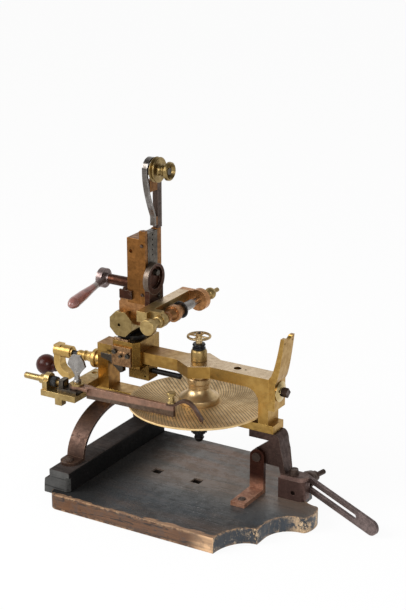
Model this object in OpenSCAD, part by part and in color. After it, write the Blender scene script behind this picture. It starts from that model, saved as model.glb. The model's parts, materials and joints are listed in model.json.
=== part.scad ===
// Wheel cutting engine for clock wheels: a dividing plate on a vertical arbor in a brass frame,
// a cutter head on a screw-driven carriage, an alidade with a micrometer stage, and a wooden base board.
// X runs along the brass bars to the horn end, Y to the rear, Z up.
// The origin is on the arbor axis, at the underside of the base board. Millimetres.

/* [Base board] */
// Thickness of the base board
board_t = 25; // [18:1:35]
// Front edge of the board, measured forward of the arbor axis
board_front = 182; // [170:1:210]
// Rear edge of the board, measured behind the arbor axis
board_rear = 109; // [100:1:140]
// Left end of the board, measured left of the arbor axis
board_left = 160; // [156:1:175]
// Right end of the board's straight front edge
board_shoulder = 132; // [110:1:140]
// Reach of the first scallop of the board's right end
scallop_l = 41; // [30:1:55]
// Straight part of the rear edge, right of the arbor
rear_shoulder = 95; // [80:1:128]
// Reach of the second scallop of the board's right end
nose_l = 40; // [25:1:55]
// Bulge of the board's tip
tip_bulge = 9; // [4:1:14]
// Radius of the board's left corners
board_corner_r = 14; // [6:1:25]
// Diameter of the two bench bolt holes
bench_hole_d = 11; // [8:0.5:13]
// Side of the square recess round each bench bolt hole
bench_recess = 16; // [15:0.5:20]
// Depth of the square recesses
bench_recess_depth = 8; // [4:1:12]
// Spacing of the bench bolt holes
bench_pitch = 72; // [60:1:90]
// Middle of the bench bolt holes, left of the arbor axis
bench_x = 22; // [15:1:30]
// Bench bolt holes, in front of the arbor axis
bench_y = 30; // [20:1:40]

/* [Batten and supports] */
// Height of the dividing plate's top above the board
rise = 121; // [115:1:140]
// Height of the end batten and of the foot block
batten_h = 33; // [25:1:38]
// Width of the batten's upper part
batten_w = 37; // [36:1:44]
// Width of the batten's step that overhangs the board
batten_lip_w = 16; // [10:1:22]
// Height of that step above the board
batten_lip_h = 19; // [12:1:22]
// Drop of that step below the board's top
batten_lip_drop = 8; // [3:1:14]
// Setback of the batten's ends from the board's edges
batten_setback = 14; // [5:1:20]
// Width of the arch strap
strap_w = 30; // [22:1:34]
// Thickness of the arch strap
strap_t = 5; // [3.5:0.5:7]
// Front foot of the arch, in front of the arbor axis
arch_front = 120; // [110:1:128]
// Rear foot of the arch, behind the arbor axis
arch_rear = 72; // [60:1:76]
// Half length of the arch's flat crown
arch_crown = 24; // [18:1:30]
// Length of the arch's foot lugs
arch_lug = 28; // [20:1:32]
// Width of the right leg
leg_w = 30; // [24:1:32]
// Thickness of the right leg's top plate
leg_top_t = 12; // [8:1:15]
// Thickness of the right leg's upright
leg_t = 9; // [6:0.5:12]
// Outward lean of the right leg
leg_lean = 12; // [4:1:16]
// Length of the leg's top plate under the lower bar
leg_top_l = 42; // [34:1:48]
// Width of the leg's foot lug
foot_w = 24; // [20:1:26]
// Thickness of the leg's foot lug
foot_t = 7; // [5:0.5:9]
// Diameter of the rod bore in the foot block
foot_bore_d = 7; // [5:0.5:9]
// Width of the front stay
stay_w = 24; // [18:1:28]
// Thickness of the front stay
stay_t = 7; // [5:0.5:9]
// Length of the front stay's foot
stay_l = 66; // [50:1:75]

/* [Slotted link] */
// Width of the slotted link
link_w = 24; // [18:1:26]
// Thickness of the slotted link
link_t = 6; // [4:0.5:8]
// Stud to the round end's centre
link_l = 132; // [100:1:140]
// Length of the slot, from the stud to its far end's centre
slot_l = 100; // [70:1:112]
// Width of the slot
slot_w = 8.4; // [7.4:0.1:10]
// Diameter of the clamp stud
stud_d = 8; // [6:0.5:8]
// Slope of the link below level, in degrees
link_slope = 15; // [8:0.5:15.5]
// Turn of the link towards the front, in degrees
link_turn = 12.5; // [8:0.5:16]

/* [Brass frame] */
// Width of both bars
bar_w = 33; // [28:0.5:34]
// Depth of the upper bar
bar_h = 19.5; // [15:0.5:24]
// Depth of the lower bar
lower_h = 13; // [10:0.5:16]
// Height of the upper bar's underside above the dividing plate
frame_gap = 48; // [46:0.5:56]
// Gap between the dividing plate and the lower bar
plate_gap = 4; // [2:0.5:6]
// Gap between the dividing plate's rim and the right pillar
rim_gap = 3; // [2:0.5:6]
// Gap between the dividing plate's rim and the left pillar
left_gap = 47; // [42:1:52]
// Thickness of the right pillar
pillar_t = 17; // [13:0.5:20]
// Width of the left pillar
left_pillar_w = 20; // [16:0.5:24]
// Radius of the fillet inside the right pillar
pillar_fillet = 22; // [12:1:26]
// Circumradius of the hexagonal boss
boss_r = 33.5; // [28:0.5:36]
// Reach of the lower bar past the right pillar
lower_reach = 9; // [5:0.5:12]
// Diameter of the accessory bore in the upper bar
accessory_d = 12; // [8:0.5:14]
// Accessory bore, right of the arbor axis
accessory_x = 68; // [55:1:80]
// Diameter of the boss under the lower bar
lower_boss_d = 36; // [30:0.5:40]
// Depth of the boss under the lower bar
lower_boss_h = 22; // [14:1:26]

/* [Horn] */
// Thickness of the horn's foot
horn_t = 11; // [8:0.5:14]
// Height of the horn above the upper bar
horn_h = 67; // [45:1:80]
// Outward sweep of the horn's tip
horn_sweep = 19; // [14:1:28]
// Thickness of the horn's tip
horn_tip_t = 6; // [4:0.5:8]
// Height of the horn's foot
horn_foot_h = 50; // [42:1:58]
// Diameter of the horn's bolt
horn_bolt_d = 8; // [6:0.5:10]
// Diameter of the horn's washer
horn_washer_d = 32; // [24:1:33]

/* [Arbor and dividing plate] */
// Diameter of the dividing plate
plate_d = 220; // [200:1:230]
// Thickness of the dividing plate
plate_t = 3; // [2:0.5:4]
// Diameter of the arbor
arbor_d = 16; // [12:0.5:18]
// Diameter of the arbor's lower journal
journal_d = 14; // [10:0.5:16]
// Diameter of the hub's foot
hub_d = 63; // [50:1:72]
// Diameter of the hub's neck
neck_d = 32; // [28:0.5:36]
// Gap between the hub's top and the upper bar
hub_gap = 3; // [1:0.5:4]
// Diameter of the work collar
collar_d = 25; // [22:0.5:28]
// Height of the work collar
collar_h = 18; // [12:0.5:24]
// Diameter of the clamp nut's flanges
nut_d = 20.5; // [18:0.5:22]
// Height of the clamp nut
nut_h = 9; // [6:0.5:14]
// Diameter of the handwheel
wheel_d = 38; // [30:0.5:46]
// Diameter of the handwheel's round rim
rim_d = 4; // [3:0.2:5]
// Height of the handwheel's hub
wheel_hub_h = 16; // [12:0.5:20]

/* [Carriage and lead screw] */
// Diameter of the lead screw
lead_d = 9; // [7:0.5:11]
// Lead screw axis below the upper bar
lead_drop = 15; // [13:0.5:17]
// Length of the carriage along the bar
saddle_l = 44; // [38:1:50]
// Middle of the carriage, left of the arbor axis
saddle_x = 114; // [112:1:118]
// Thickness of the carriage's front wall
saddle_front = 17; // [12:0.5:20]
// Thickness of the carriage's rear wall
saddle_rear = 15; // [12:0.5:18]
// Thickness of the carriage's top
saddle_top = 18; // [14:0.5:22]
// Thickness of the front clamp plate
clamp_t = 4; // [3:0.5:6]
// Throw of the crank
crank_throw = 31; // [24:1:36]
// Thickness of the crank arm
crank_t = 12; // [8:0.5:14]
// Diameter of the crank's wooden knob
knob_d = 34; // [26:1:38]
// Diameter of the thrust collar's flange
thrust_d = 31; // [24:0.5:32]

/* [Cutter head] */
// Knuckle axis, height above the carriage's top
tilt_h = 28; // [27:0.5:32]
// Knuckle's width across its flats
knuckle_af = 40; // [34:0.5:42]
// Diameter of the tilt pin
tilt_d = 10; // [8:0.5:12]
// Depth of the column, along the bar
column_x = 33; // [30:0.5:38]
// Width of the column, across the bar
column_y = 46; // [44:0.5:52]
// Height of the column
column_h = 114; // [100:1:125]
// Depth of the slide's groove in the column
groove_depth = 11; // [9:0.5:13]
// Width of the steel slide
slide_w = 27; // [24:0.5:29]
// Thickness of the column's front cheek
cheek_front = 7; // [6:0.5:9]
// Diameter of the feed shaft
feed_d = 10; // [8:0.5:11]
// Feed shaft above the column's foot
feed_h = 24; // [22:0.5:30]
// Throw of the feed shaft's crank pin
feed_throw = 9; // [7:0.5:9.5]
// Diameter of the feed shaft's crank pin
feed_pin_d = 7; // [5:0.5:7]
// Thickness of the eyed slide plate
eye_t = 9; // [6:0.5:11]
// Radius of the slide plate's round head
eye_r = 24.5; // [22:0.5:26]
// Length of the feed lever, from the shaft to the handle's end
lever_l = 100; // [90:1:112]
// Slope of the feed lever below level, in degrees
lever_slope = 10; // [0:1:14]

/* [Cutter spindle] */
// Spindle axis, left of the arbor axis
spindle_x = 33; // [31:0.5:35]
// Spindle axis above the dividing plate
spindle_h = 143; // [140:0.5:146]
// Diameter of the cutter spindle
spindle_d = 8; // [6:0.5:10]
// Diameter of the cutter
cutter_d = 27; // [18:0.5:30]
// Thickness of the cutter's blade
cutter_t = 2.4; // [1.2:0.2:4]
// Count of the cutter's teeth
cutter_teeth = 36; // [24:1:44]
// Half length of the cutter frame, to its ears' outer faces
frame_half = 62; // [58:0.5:70]
// Thickness of the frame's ears
ear_t = 12; // [9:0.5:14]
// Diameter of the frame's round rear ear
ear_d = 34; // [28:0.5:36]
// Width of the frame's rail
rail_w = 18; // [14:0.5:20]
// Height of the frame's rail
rail_h = 17; // [13:0.5:20]

/* [Guide pulley arm] */
// Width of the bow and post
bow_w = 9; // [7:0.5:12]
// Thickness of the bow's strap
bow_t = 3.4; // [2.4:0.2:4.4]
// Height of the pulley's axis above the column
pulley_h = 95; // [85:1:105]
// Outer radius of the bow's curl
curl_r = 18; // [15:0.5:20]
// Thickness of the straight post
post_t = 12; // [8:0.5:14]
// Diameter of the guide pulley
pulley_d = 39; // [32:0.5:46]
// Width of the guide pulley
pulley_w = 9; // [7:0.5:11]
// Diameter of the pulley's stud
pulley_stud_d = 7; // [5:0.5:8]

/* [Alidade] */
// Alidade pivot, in front of the arbor axis
pivot_y = 72; // [68:0.5:76]
// Diameter of the alidade's pivot
pivot_d = 8; // [6:0.5:9]
// Length of the alidade, from its pivot
alidade_l = 188; // [178:1:194]
// Thickness of the alidade
alidade_t = 6; // [4:0.5:8]
// Turn of the alidade towards the front, in degrees
alidade_turn = 4.7; // [3:0.1:6]
// Reach of the index spring past the alidade's end
spring_l = 43; // [36:1:48]
// Turn of the index spring towards the hub, in degrees
spring_turn = 19.7; // [10:0.1:24]
// Thickness of the index spring
spring_t = 4; // [2.4:0.1:5]
// Width of the index spring
spring_w = 8; // [5:0.5:10]
// Width of the micrometer stage
stage_w = 36; // [32:0.5:38]
// Diameter of the micrometer screw
micro_d = 8; // [6:0.5:9]
// Width of the thumbscrew's spade
spade_w = 33; // [24:0.5:36]

/* [Fits] */
// Radial clearance of turning journals
run_gap = 0.05; // [0.02:0.01:0.1]
// Clearance between sliding flat faces
slide_gap = 0.3; // [0.2:0.05:0.4]
// Clearance of bolts and screws in their holes
bolt_gap = 0.1; // [0.05:0.05:0.3]

/* [Hidden] */
$fn = 48;
eps = 0.01;

// Finishes
brass = [0.66, 0.52, 0.22];
bronze = [0.62, 0.38, 0.18];
iron = [0.33, 0.22, 0.18];
steel = [0.48, 0.47, 0.46];
black_steel = [0.10, 0.10, 0.11];
wood_paint = [0.20, 0.20, 0.21];
red_wood = [0.30, 0.12, 0.09];
horn_wood = [0.40, 0.25, 0.20];

// Levels
board_top = board_t;
plate_z = board_top + rise;
seat_z = board_top + batten_h;
lower_top = plate_z - plate_t - plate_gap;
lower_bot = lower_top - lower_h;
upper_bot = plate_z + frame_gap;
upper_top = upper_bot + bar_h;
lead_z = upper_bot - lead_drop;

// Places along the bars
plate_r = plate_d / 2;
bar_half = bar_w / 2;
pillar_in = plate_r + rim_gap;
pillar_out = pillar_in + pillar_t;
left_in = -(plate_r + left_gap);
left_out = left_in - left_pillar_w;
bar_left = left_out;
lower_right = pillar_out + lower_reach;

// Base board
board_mid = (board_rear - board_front) / 2;
board_half = (board_rear + board_front) / 2;
lobe_half = board_half - 57;
step_half = lobe_half - 23;
tip_half = step_half - 43;

// Batten and arch
batten_left = -board_left - 7;
batten_right = batten_left + batten_w;
strap_x = batten_left + strap_w / 2;
arch_top = lower_bot;
arch_rise = arch_top - seat_z;

// Right leg, foot block and stay
leg_left = lower_right - leg_top_l;
leg_x = lower_right + 2;
leg_foot_x = leg_x + leg_lean;
foot_mid = -5;
foot_end_x = leg_foot_x + leg_t + 19;
block_left = leg_foot_x - 5;
block_front = foot_mid - foot_w / 2 + 2;
stud_x = foot_end_x - 2;
stud_y = foot_mid + foot_w / 2 + 2.4;
stud_z = seat_z - 9.6;
foot_screw_x = leg_foot_x + leg_t + 8;
stay_x = leg_left + 15;
stay_rear = foot_mid - 5;
stay_bolt_z = lower_bot - leg_top_t - 30;
screw_d = 6;

// Horn's bolt
horn_bolt_z = upper_top - 6.5 - horn_washer_d / 2;

// Lower pivot and arbor
pivot_top = lower_bot + 2;
arbor_top = upper_top + slide_gap + collar_h + nut_h;
wheel_stud_d = 6;

// Index stage
carrier_left = left_out - 28;
carrier_top = lower_top + 14;
carrier_front = -pivot_y + 12;
pivot_x = left_out - 1;
stage_front = carrier_front - stage_w;
stage_left = carrier_left - 27;
stage_right = left_out + 10;
lug_x = carrier_left + 1;
stage_bot = carrier_top - 13;
stage_top = carrier_top - 3;
upright_t = 9;
micro_y = -pivot_y - 6;
micro_z = stage_top + 10;
slide_top = stage_top + slide_gap + 5.7;
eye_bot = slide_top + slide_gap;
eye_top = eye_bot + 4.7;
washer_top = eye_top + slide_gap + 2.7;
alidade_top = plate_z + 25;
alidade_bot = plate_z + 7;
spring_z = alidade_top + spring_t / 2 + 0.1;

// Carriage
saddle_left = -saddle_x - saddle_l / 2;
saddle_right = -saddle_x + saddle_l / 2;
channel_half = bar_half + slide_gap;
saddle_y0 = -channel_half - saddle_front;
saddle_y1 = channel_half + saddle_rear;
saddle_top_z = upper_top + slide_gap + saddle_top;
saddle_bot_z = upper_bot - 3;
keeper_t = 4.7;
nut_left = -saddle_x - 6;
nut_right = saddle_right + 9;
nut_bot = lead_z - 13;
tilt_x = -saddle_x - 7;
tilt_z = saddle_top_z + tilt_h;
pad_top = tilt_z - knuckle_af / 2 / cos(22.5) - slide_gap;
cheek_y = 20;
cheek_t = 10;
knuckle_front = saddle_y0;
knuckle_rear = cheek_y - slide_gap;

// Column and slide
column_bot = tilt_z + knuckle_af / 2 + 14;
column_top = column_bot + column_h;
column_left = tilt_x + 7;
column_right = column_left + column_x;
column_y0 = -column_y / 2;
column_y1 = column_y / 2;
groove_x = column_right - groove_depth;
slide_y0 = column_y0 + cheek_front + slide_gap;
slide_y1 = slide_y0 + slide_w;
slide_face = column_right + 0.4;
eye_face = slide_face + eye_t;
feed_y = (slide_y0 + slide_y1) / 2;
feed_z = column_bot + feed_h;
web_r = feed_throw + feed_pin_d / 2 + 1.5;
web_t = 5;
pin_gap = 0.35;
eye_y = -7;
eye_z = feed_z + 16;
lever_x0 = column_left - 63;
lever_x1 = column_left - 46;

// Cutter frame and spindle
spindle_z = plate_z + spindle_h;
rail_right = -spindle_x - cutter_d / 2 - 1.5;
rail_left = rail_right - rail_w;
rail_top = spindle_z + 14;
rail_bot = rail_top - rail_h;
plate_low = rail_bot + 4.8;
ear_in = frame_half - ear_t;

// Guide pulley arm
bow_x1 = column_right - slide_gap;
bow_x0 = bow_x1 - bow_w;
pulley_y = 3;
pulley_z = column_top + pulley_h;
post_y0 = pulley_y + curl_r - 7;
post_y1 = post_y0 + post_t;
bow_foot_y = post_y0 - 6;
pulley_x0 = bow_x1 + 3;
spool_l = 13;
column_step = 10;

// Solid shapes
module block(x, y, z)
  translate([x[0], y[0], z[0]]) cube([x[1] - x[0], y[1] - y[0], z[1] - z[0]]);
module rod_x(x, y, z, d)
  translate([x[0], y, z]) rotate([0, 90, 0]) cylinder(h = x[1] - x[0], d = d);
module rod_y(x, y, z, d)
  translate([x, y[0], z]) rotate([-90, 0, 0]) cylinder(h = y[1] - y[0], d = d);
module rod_z(x, y, z, d)
  translate([x, y, z[0]]) cylinder(h = z[1] - z[0], d = d);
// A profile of radius against X, turned about an axis along X
module turned_x(y, z, profile)
  translate([0, y, z]) rotate([0, 90, 0]) rotate_extrude() polygon([for (p = profile) [p[1], p[0]]]);
module turned_y(x, z, profile)
  translate([x, 0, z]) rotate([-90, 0, 0]) rotate_extrude() polygon([for (p = profile) [p[1], p[0]]]);
module turned_z(x, y, profile)
  translate([x, y, 0]) rotate_extrude() polygon([for (p = profile) [p[1], p[0]]]);
// An outline in X and Z, carried from y[0] to y[1]
module slab_y(y)
  translate([0, y[1], 0]) rotate([90, 0, 0]) linear_extrude(y[1] - y[0]) children();
// An outline in Y and Z, carried from x[0] to x[1]
module slab_x(x)
  translate([x[0], 0, 0]) rotate([90, 0, 90]) linear_extrude(x[1] - x[0]) children();
// Points of an ellipse between two angles
function arc(c, r, a0, a1, n = 16) =
  [for (i = [0 : n]) let (t = a0 + (a1 - a0) * i / n) [c[0] + r[0] * cos(t), c[1] + r[1] * sin(t)]];
// A domed, slotted screw head standing on its seat, axis up
module slotted_head(d, h)
  difference() {
    cylinder(h = h, d1 = d, d2 = d * 0.8);
    translate([-d, -d * 0.07, h * 0.55]) cube([2 * d, d * 0.14, h]);
  }

// Base board with a scalloped right end
function nose_side(s, shoulder) = let (cusp = board_shoulder + scallop_l) [
  for (p = arc([cusp, board_half], [cusp - shoulder, board_half - lobe_half], 180, 270))
    [p[0], s * p[1]],
  for (p = arc([cusp + nose_l, step_half], [nose_l, step_half - tip_half], 180, 270))
    [p[0], s * p[1]]
];
module board_outline()
  translate([0, board_mid]) {
    left = -board_left;
    r = board_corner_r;
    tip_x = board_shoulder + scallop_l + nose_l;
    far_side = nose_side(1, rear_shoulder);
    polygon(concat(
      nose_side(-1, board_shoulder),
      arc([tip_x, 0], [tip_bulge, tip_half], -90, 90),
      [for (i = [len(far_side) - 1 : -1 : 0]) far_side[i]],
      arc([left + r, board_half - r], [r, r], 90, 180, 8),
      arc([left + r, r - board_half], [r, r], 180, 270, 8)));
  }
module base_board() color(wood_paint)
  difference() {
    linear_extrude(board_t) board_outline();
    for (s = [-1, 1]) {
      x = -bench_x + s * bench_pitch / 2;
      rod_z(x, -bench_y, [-1, board_t + 1], bench_hole_d);
      translate([x, -bench_y, board_t - bench_recess_depth / 2 + 1])
        cube([bench_recess, bench_recess, bench_recess_depth + 2], center = true);
    }
  }

// Batten across the board's left end, rebated over its edge
module end_batten() color(wood_paint) {
  y0 = -board_front + batten_setback;
  y1 = board_rear - 3;
  bevel = 9;
  difference() {
    slab_y([y0, y1])
      polygon([
        [-board_left, board_top], [batten_right, board_top], [batten_right, seat_z - 2],
        [batten_right - 2, seat_z], [batten_left, seat_z], [batten_left, board_top + batten_lip_h],
        [batten_left - batten_lip_w + 7, board_top + batten_lip_h - 3],
        [batten_left - batten_lip_w + 4, board_top - batten_lip_drop],
        [-board_left, board_top - batten_lip_drop]]);
    for (x = [batten_left - batten_lip_w, batten_right])
      translate([x, y0, board_top - batten_lip_drop - 1]) rotate(45)
        cube([bevel, bevel, 2 * batten_h], center = true);
  }
}

// Iron arch strap that carries the left end of the lower bar
module arch_curve(side, foot, t)
  let (span = foot - arch_crown)
  polygon([
    for (p = concat(
        arc([arch_crown, seat_z], [span, arch_rise], 0, 90, 18),
        arc([arch_crown, seat_z], [span - t, arch_rise - t], 90, 0, 18)))
      [side * p[0], p[1]]]);
module arch_lug(side, foot)
  difference() {
    union() {
      block([strap_x - strap_w / 2, strap_x + strap_w / 2],
        side > 0 ? [foot - strap_t, foot + arch_lug / 2] : [-foot - arch_lug / 2, strap_t - foot],
        [seat_z, seat_z + strap_t]);
      intersection() {
        rod_z(strap_x, side * (foot + arch_lug - strap_w / 2), [seat_z, seat_z + strap_t], strap_w);
        block([strap_x - strap_w, strap_x + strap_w],
          side > 0 ? [foot, foot + arch_lug] : [-foot - arch_lug, -foot], [seat_z, seat_z + strap_t]);
      }
    }
    rod_z(strap_x, side * (foot + arch_lug / 2), [seat_z - 1, seat_z + strap_t + 1], screw_d + 2 * bolt_gap);
  }
module arch_strap() color(iron) {
  slab_x([strap_x - strap_w / 2, strap_x + strap_w / 2]) {
    arch_curve(-1, arch_front, strap_t);
    arch_curve(1, arch_rear, strap_t);
    translate([-arch_crown - eps, arch_top - strap_t]) square([2 * (arch_crown + eps), strap_t]);
  }
  arch_lug(-1, arch_front);
  arch_lug(1, arch_rear);
}

// Iron leg under the right end, with a foot lug and a web for the stay
module leg_profile() {
  knee = leg_top_t + 6;
  polygon(concat(
    [[leg_left, lower_bot - leg_top_t], [leg_left, lower_bot], [leg_x, lower_bot]],
    arc([leg_x, lower_bot - knee], [leg_t, knee], 90, 0, 8),
    [[leg_foot_x + leg_t, seat_z], [leg_foot_x, seat_z], [leg_x, lower_bot - leg_top_t - 8],
     [leg_x - 6, lower_bot - leg_top_t]]));
}
module leg_taper()
  polygon([
    [foot_mid - foot_w / 2, seat_z], [foot_mid + foot_w / 2, seat_z],
    [leg_w / 2, lower_bot - leg_top_t - 18], [leg_w / 2, lower_bot],
    [-leg_w / 2, lower_bot], [-leg_w / 2, lower_bot - leg_top_t - 18]]);
module right_leg() color(iron)
  difference() {
    union() {
      intersection() {
        slab_y([-leg_w / 2, leg_w / 2]) leg_profile();
        slab_x([leg_left, leg_foot_x + leg_t]) leg_taper();
      }
      block([leg_foot_x, foot_end_x], [foot_mid - foot_w / 2, foot_mid + foot_w / 2],
        [seat_z, seat_z + foot_t]);
      rod_z(foot_end_x, foot_mid, [seat_z, seat_z + foot_t], foot_w);
      slab_y([stay_rear, stay_rear + stay_t])
        polygon(concat(
          arc([stay_x, stay_bolt_z], [stay_w / 2, stay_w / 2], 115, 245, 10),
          [[leg_x + leg_lean * 0.55, stay_bolt_z - stay_w / 2], [leg_x + 4, lower_bot - leg_top_t - 6],
           [leg_x - 8, lower_bot - leg_top_t + 1]]));
    }
    rod_z(foot_screw_x, foot_mid, [seat_z - 1, seat_z + foot_t + 1], screw_d + 2 * bolt_gap);
    rod_y(stay_x, [stay_rear - 1, stay_rear + stay_t + 1], stay_bolt_z, screw_d + 2 * bolt_gap);
  }

// L-shaped stay in front of the leg
module front_stay() color(iron)
  difference() {
    union() {
      block([stay_x - stay_w / 2, stay_x + stay_w / 2], [stay_rear - stay_t, stay_rear],
        [board_top, stay_bolt_z]);
      rod_y(stay_x, [stay_rear - stay_t, stay_rear], stay_bolt_z, stay_w);
      block([stay_x - stay_w / 2, stay_x + stay_w / 2], [stay_rear - stay_l, stay_rear],
        [board_top, board_top + stay_t]);
    }
    rod_y(stay_x, [stay_rear - stay_t - 1, stay_rear + 1], stay_bolt_z, screw_d + 2 * bolt_gap);
    rod_z(stay_x, stay_rear - stay_l + 14, [board_top - 1, board_top + stay_t + 1], screw_d + 2 * bolt_gap);
  }

// Iron block under the leg's foot, with a rod bore and the link's stud hole
module foot_block() color(iron) {
  right = foot_end_x + foot_w / 2 - 2;
  rear = stud_y + (stud_x - block_left) * tan(link_turn);
  rear_right = stud_y - (right - stud_x) * tan(link_turn);
  r = 9;
  difference() {
    translate([0, 0, board_top])
      linear_extrude(batten_h)
        polygon(concat(
          [[block_left, rear], [block_left, block_front]],
          arc([right - r, block_front + r], [r, r], 270, 360, 8),
          [[right, rear_right]]));
    rod_y(leg_foot_x + 20, [block_front - 1, block_front + 20], board_top + 12, foot_bore_d);
    link_frame() rod_y(0, [-10, 1], 0, stud_d + 2 * bolt_gap);
    rod_z(foot_screw_x, foot_mid, [seat_z - 12, seat_z + 1], screw_d + 2 * bolt_gap);
  }
}
// Frame of the slotted link: its origin is on the stud, at the block's rear face
module link_frame()
  translate([stud_x, stud_y, stud_z]) rotate([0, 0, -link_turn]) children();
module link_outline(l0, l1, w) {
  translate([l0, -w / 2]) square([l1 - l0, w]);
  for (x = [l0, l1])
    translate([x, 0]) circle(d = w);
}
module slotted_link() color(steel)
  link_frame()
    translate([0, slide_gap + link_t, 0]) rotate([90, link_slope, 0])
      linear_extrude(link_t)
        difference() {
          link_outline(0, link_l, link_w);
          link_outline(0, slot_l, slot_w);
        }

// Screws of the fixed frame
module frame_screws() color(iron) {
  head_h = 4;
  for (p = [[strap_x, -arch_front - arch_lug / 2], [strap_x, arch_rear + arch_lug / 2]])
    translate([p[0], p[1], 0]) {
      rod_z(0, 0, [seat_z, seat_z + strap_t], screw_d);
      translate([0, 0, seat_z + strap_t]) slotted_head(12, head_h);
    }
  translate([foot_screw_x, foot_mid, 0]) {
    rod_z(0, 0, [seat_z - 11, seat_z + foot_t], screw_d);
    translate([0, 0, seat_z + foot_t]) rotate(35) slotted_head(15.5, 2 * head_h);
  }
  translate([stay_x, stay_rear - stay_l + 14, 0]) {
    rod_z(0, 0, [board_top, board_top + stay_t], screw_d);
    translate([0, 0, board_top + stay_t]) slotted_head(13, 1.6);
  }
  rod_y(stay_x, [stay_rear - stay_t, stay_rear + stay_t], stay_bolt_z, screw_d);
  rod_y(stay_x, [stay_rear - stay_t - 3, stay_rear - stay_t], stay_bolt_z, 14);
}
// Stud and round nut of the slotted link
module link_stud() color(iron)
  link_frame() {
    nut_y = 2 * slide_gap + link_t;
    rod_y(0, [-9, nut_y + 42], 0, stud_d);
    turned_y(0, 0, [[nut_y, stud_d / 2], [nut_y, 12], [nut_y + 4, 13], [nut_y + 14, 11], [nut_y + 16, 8],
      [nut_y + 22, 8], [nut_y + 22, stud_d / 2]]);
  }

// Lower bar with the pivot's boss
module lower_bar() color(brass)
  difference() {
    union() {
      block([carrier_left, lower_right], [-bar_half, bar_half], [lower_bot, lower_top]);
      rod_z(0, 0, [lower_bot - lower_boss_h, lower_bot + 1], lower_boss_d);
    }
    rod_z(0, 0, [lower_bot - lower_boss_h - 1, lower_top + 1], journal_d + 2 * run_gap);
  }

// Upper bar, hexagonal boss and right pillar in one casting
module upper_frame() color(brass)
  difference() {
    union() {
      slab_y([-bar_half, bar_half])
        difference() {
          union() {
            translate([bar_left, upper_bot]) square([pillar_out - bar_left, bar_h]);
            translate([pillar_in, lower_top]) square([pillar_t, upper_bot - lower_top + 1]);
            translate([pillar_in - pillar_fillet, upper_bot - pillar_fillet])
              square([pillar_fillet + 1, pillar_fillet + 1]);
          }
          translate([pillar_in - pillar_fillet, upper_bot - pillar_fillet]) circle(r = pillar_fillet);
        }
      translate([0, 0, upper_bot]) rotate(30) cylinder(h = bar_h, r = boss_r, $fn = 6);
    }
    rod_z(0, 0, [upper_bot - 1, upper_top + 1], arbor_d + 2 * run_gap);
    rod_z(accessory_x, 0, [upper_bot - 1, upper_top + 1], accessory_d);
    rod_z(accessory_x + 14, 0, [upper_top - 8, upper_top + 1], 3.5);
    rod_x([pillar_in + 3, pillar_out + 1], 0, horn_bolt_z, horn_bolt_d + 2 * bolt_gap);
  }
module left_pillar() color(brass)
  difference() {
    block([left_out, left_in], [-bar_half, bar_half], [lower_top, upper_bot]);
    rod_x([left_out - 1, left_in + 1], 0, lead_z, lead_d + 2 * run_gap);
  }

// Swept horn on the right pillar
function horn_edge(x0, dx, z0, dz, n = 12) =
  [for (i = [0 : n]) let (s = i / n) [x0 + dx * pow(s, 0.6), z0 + dz * s]];
module horn() color(brass) {
  z0 = upper_top - horn_foot_h;
  tip = pillar_out + horn_sweep;
  inner = horn_edge(pillar_out, horn_sweep, upper_top, horn_h);
  outer = horn_edge(pillar_out + horn_t, horn_sweep + horn_tip_t - horn_t, upper_top - 6, horn_h + 6);
  difference() {
    slab_y([-bar_half, bar_half])
      polygon(concat(
        [[pillar_out, z0], [pillar_out + horn_t, z0]],
        outer,
        [for (i = [len(inner) - 1 : -1 : 0]) inner[i]]));
    rod_x([pillar_out - 1, pillar_out + horn_t + 1], 0, horn_bolt_z, horn_bolt_d + 2 * bolt_gap);
    rod_x([tip - 20, tip + 20], 0, upper_top + horn_h + 5, 20);
    for (s = [-1, 1])
      rod_x([tip - 20, tip + 20], s * 12, upper_top + horn_h - 8, 3);
  }
}
module horn_bolt() {
  x = pillar_out + horn_t;
  z = horn_bolt_z;
  color(brass)
    turned_x(0, z, [[x, horn_bolt_d / 2 + bolt_gap], [x, horn_washer_d / 2], [x + 1.5, horn_washer_d / 2],
      [x + 4, horn_washer_d / 2 - 6], [x + 5, horn_bolt_d / 2 + bolt_gap]]);
  color(steel) {
    rod_x([pillar_in + 4, x + 10], 0, z, horn_bolt_d);
    translate([x + 5, 0, z]) rotate([38, 0, 0])
      translate([0, -5.5, -5.5]) cube([9, 11, 11]);
  }
}

// Pivot screw under the lower bar, with a slotted round nut
module pivot_screw() color(black_steel)
  difference() {
    z = lower_bot - lower_boss_h;
    union() {
      rod_z(0, 0, [z - 20, pivot_top], journal_d);
      rod_z(0, 0, [z - 10, z], 25);
      translate([0, 0, z - 25]) cylinder(h = 6, d1 = 10, d2 = 16);
    }
    for (a = [0 : 60 : 150])
      rotate(a) translate([-20, -1.5, z - 11]) cube([40, 3, 5]);
  }

// Arbor with its clamp nut, dividing plate, hub and collar
module arbor() color(black_steel) {
  nut_z = upper_top + slide_gap + collar_h;
  difference() {
    union() {
      rod_z(0, 0, [pivot_top + 0.1, plate_z - plate_t], journal_d);
      rod_z(0, 0, [plate_z - plate_t, arbor_top], arbor_d);
      rod_z(0, 0, [arbor_top, arbor_top + wheel_hub_h + 1], wheel_stud_d);
    }
    rod_z(0, 0, [arbor_top + wheel_hub_h - 3, arbor_top + wheel_hub_h + 2], 2);
  }
  turned_z(0, 0, [
    [nut_z, arbor_d / 2], [nut_z, nut_d / 2], [nut_z + 0.3 * nut_h, nut_d / 2],
    [nut_z + 0.42 * nut_h, nut_d / 2 - 1.8], [nut_z + 0.58 * nut_h, nut_d / 2 - 1.8],
    [nut_z + 0.71 * nut_h, nut_d / 2], [nut_z + nut_h, nut_d / 2 - 1], [nut_z + nut_h, arbor_d / 2]]);
}
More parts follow.
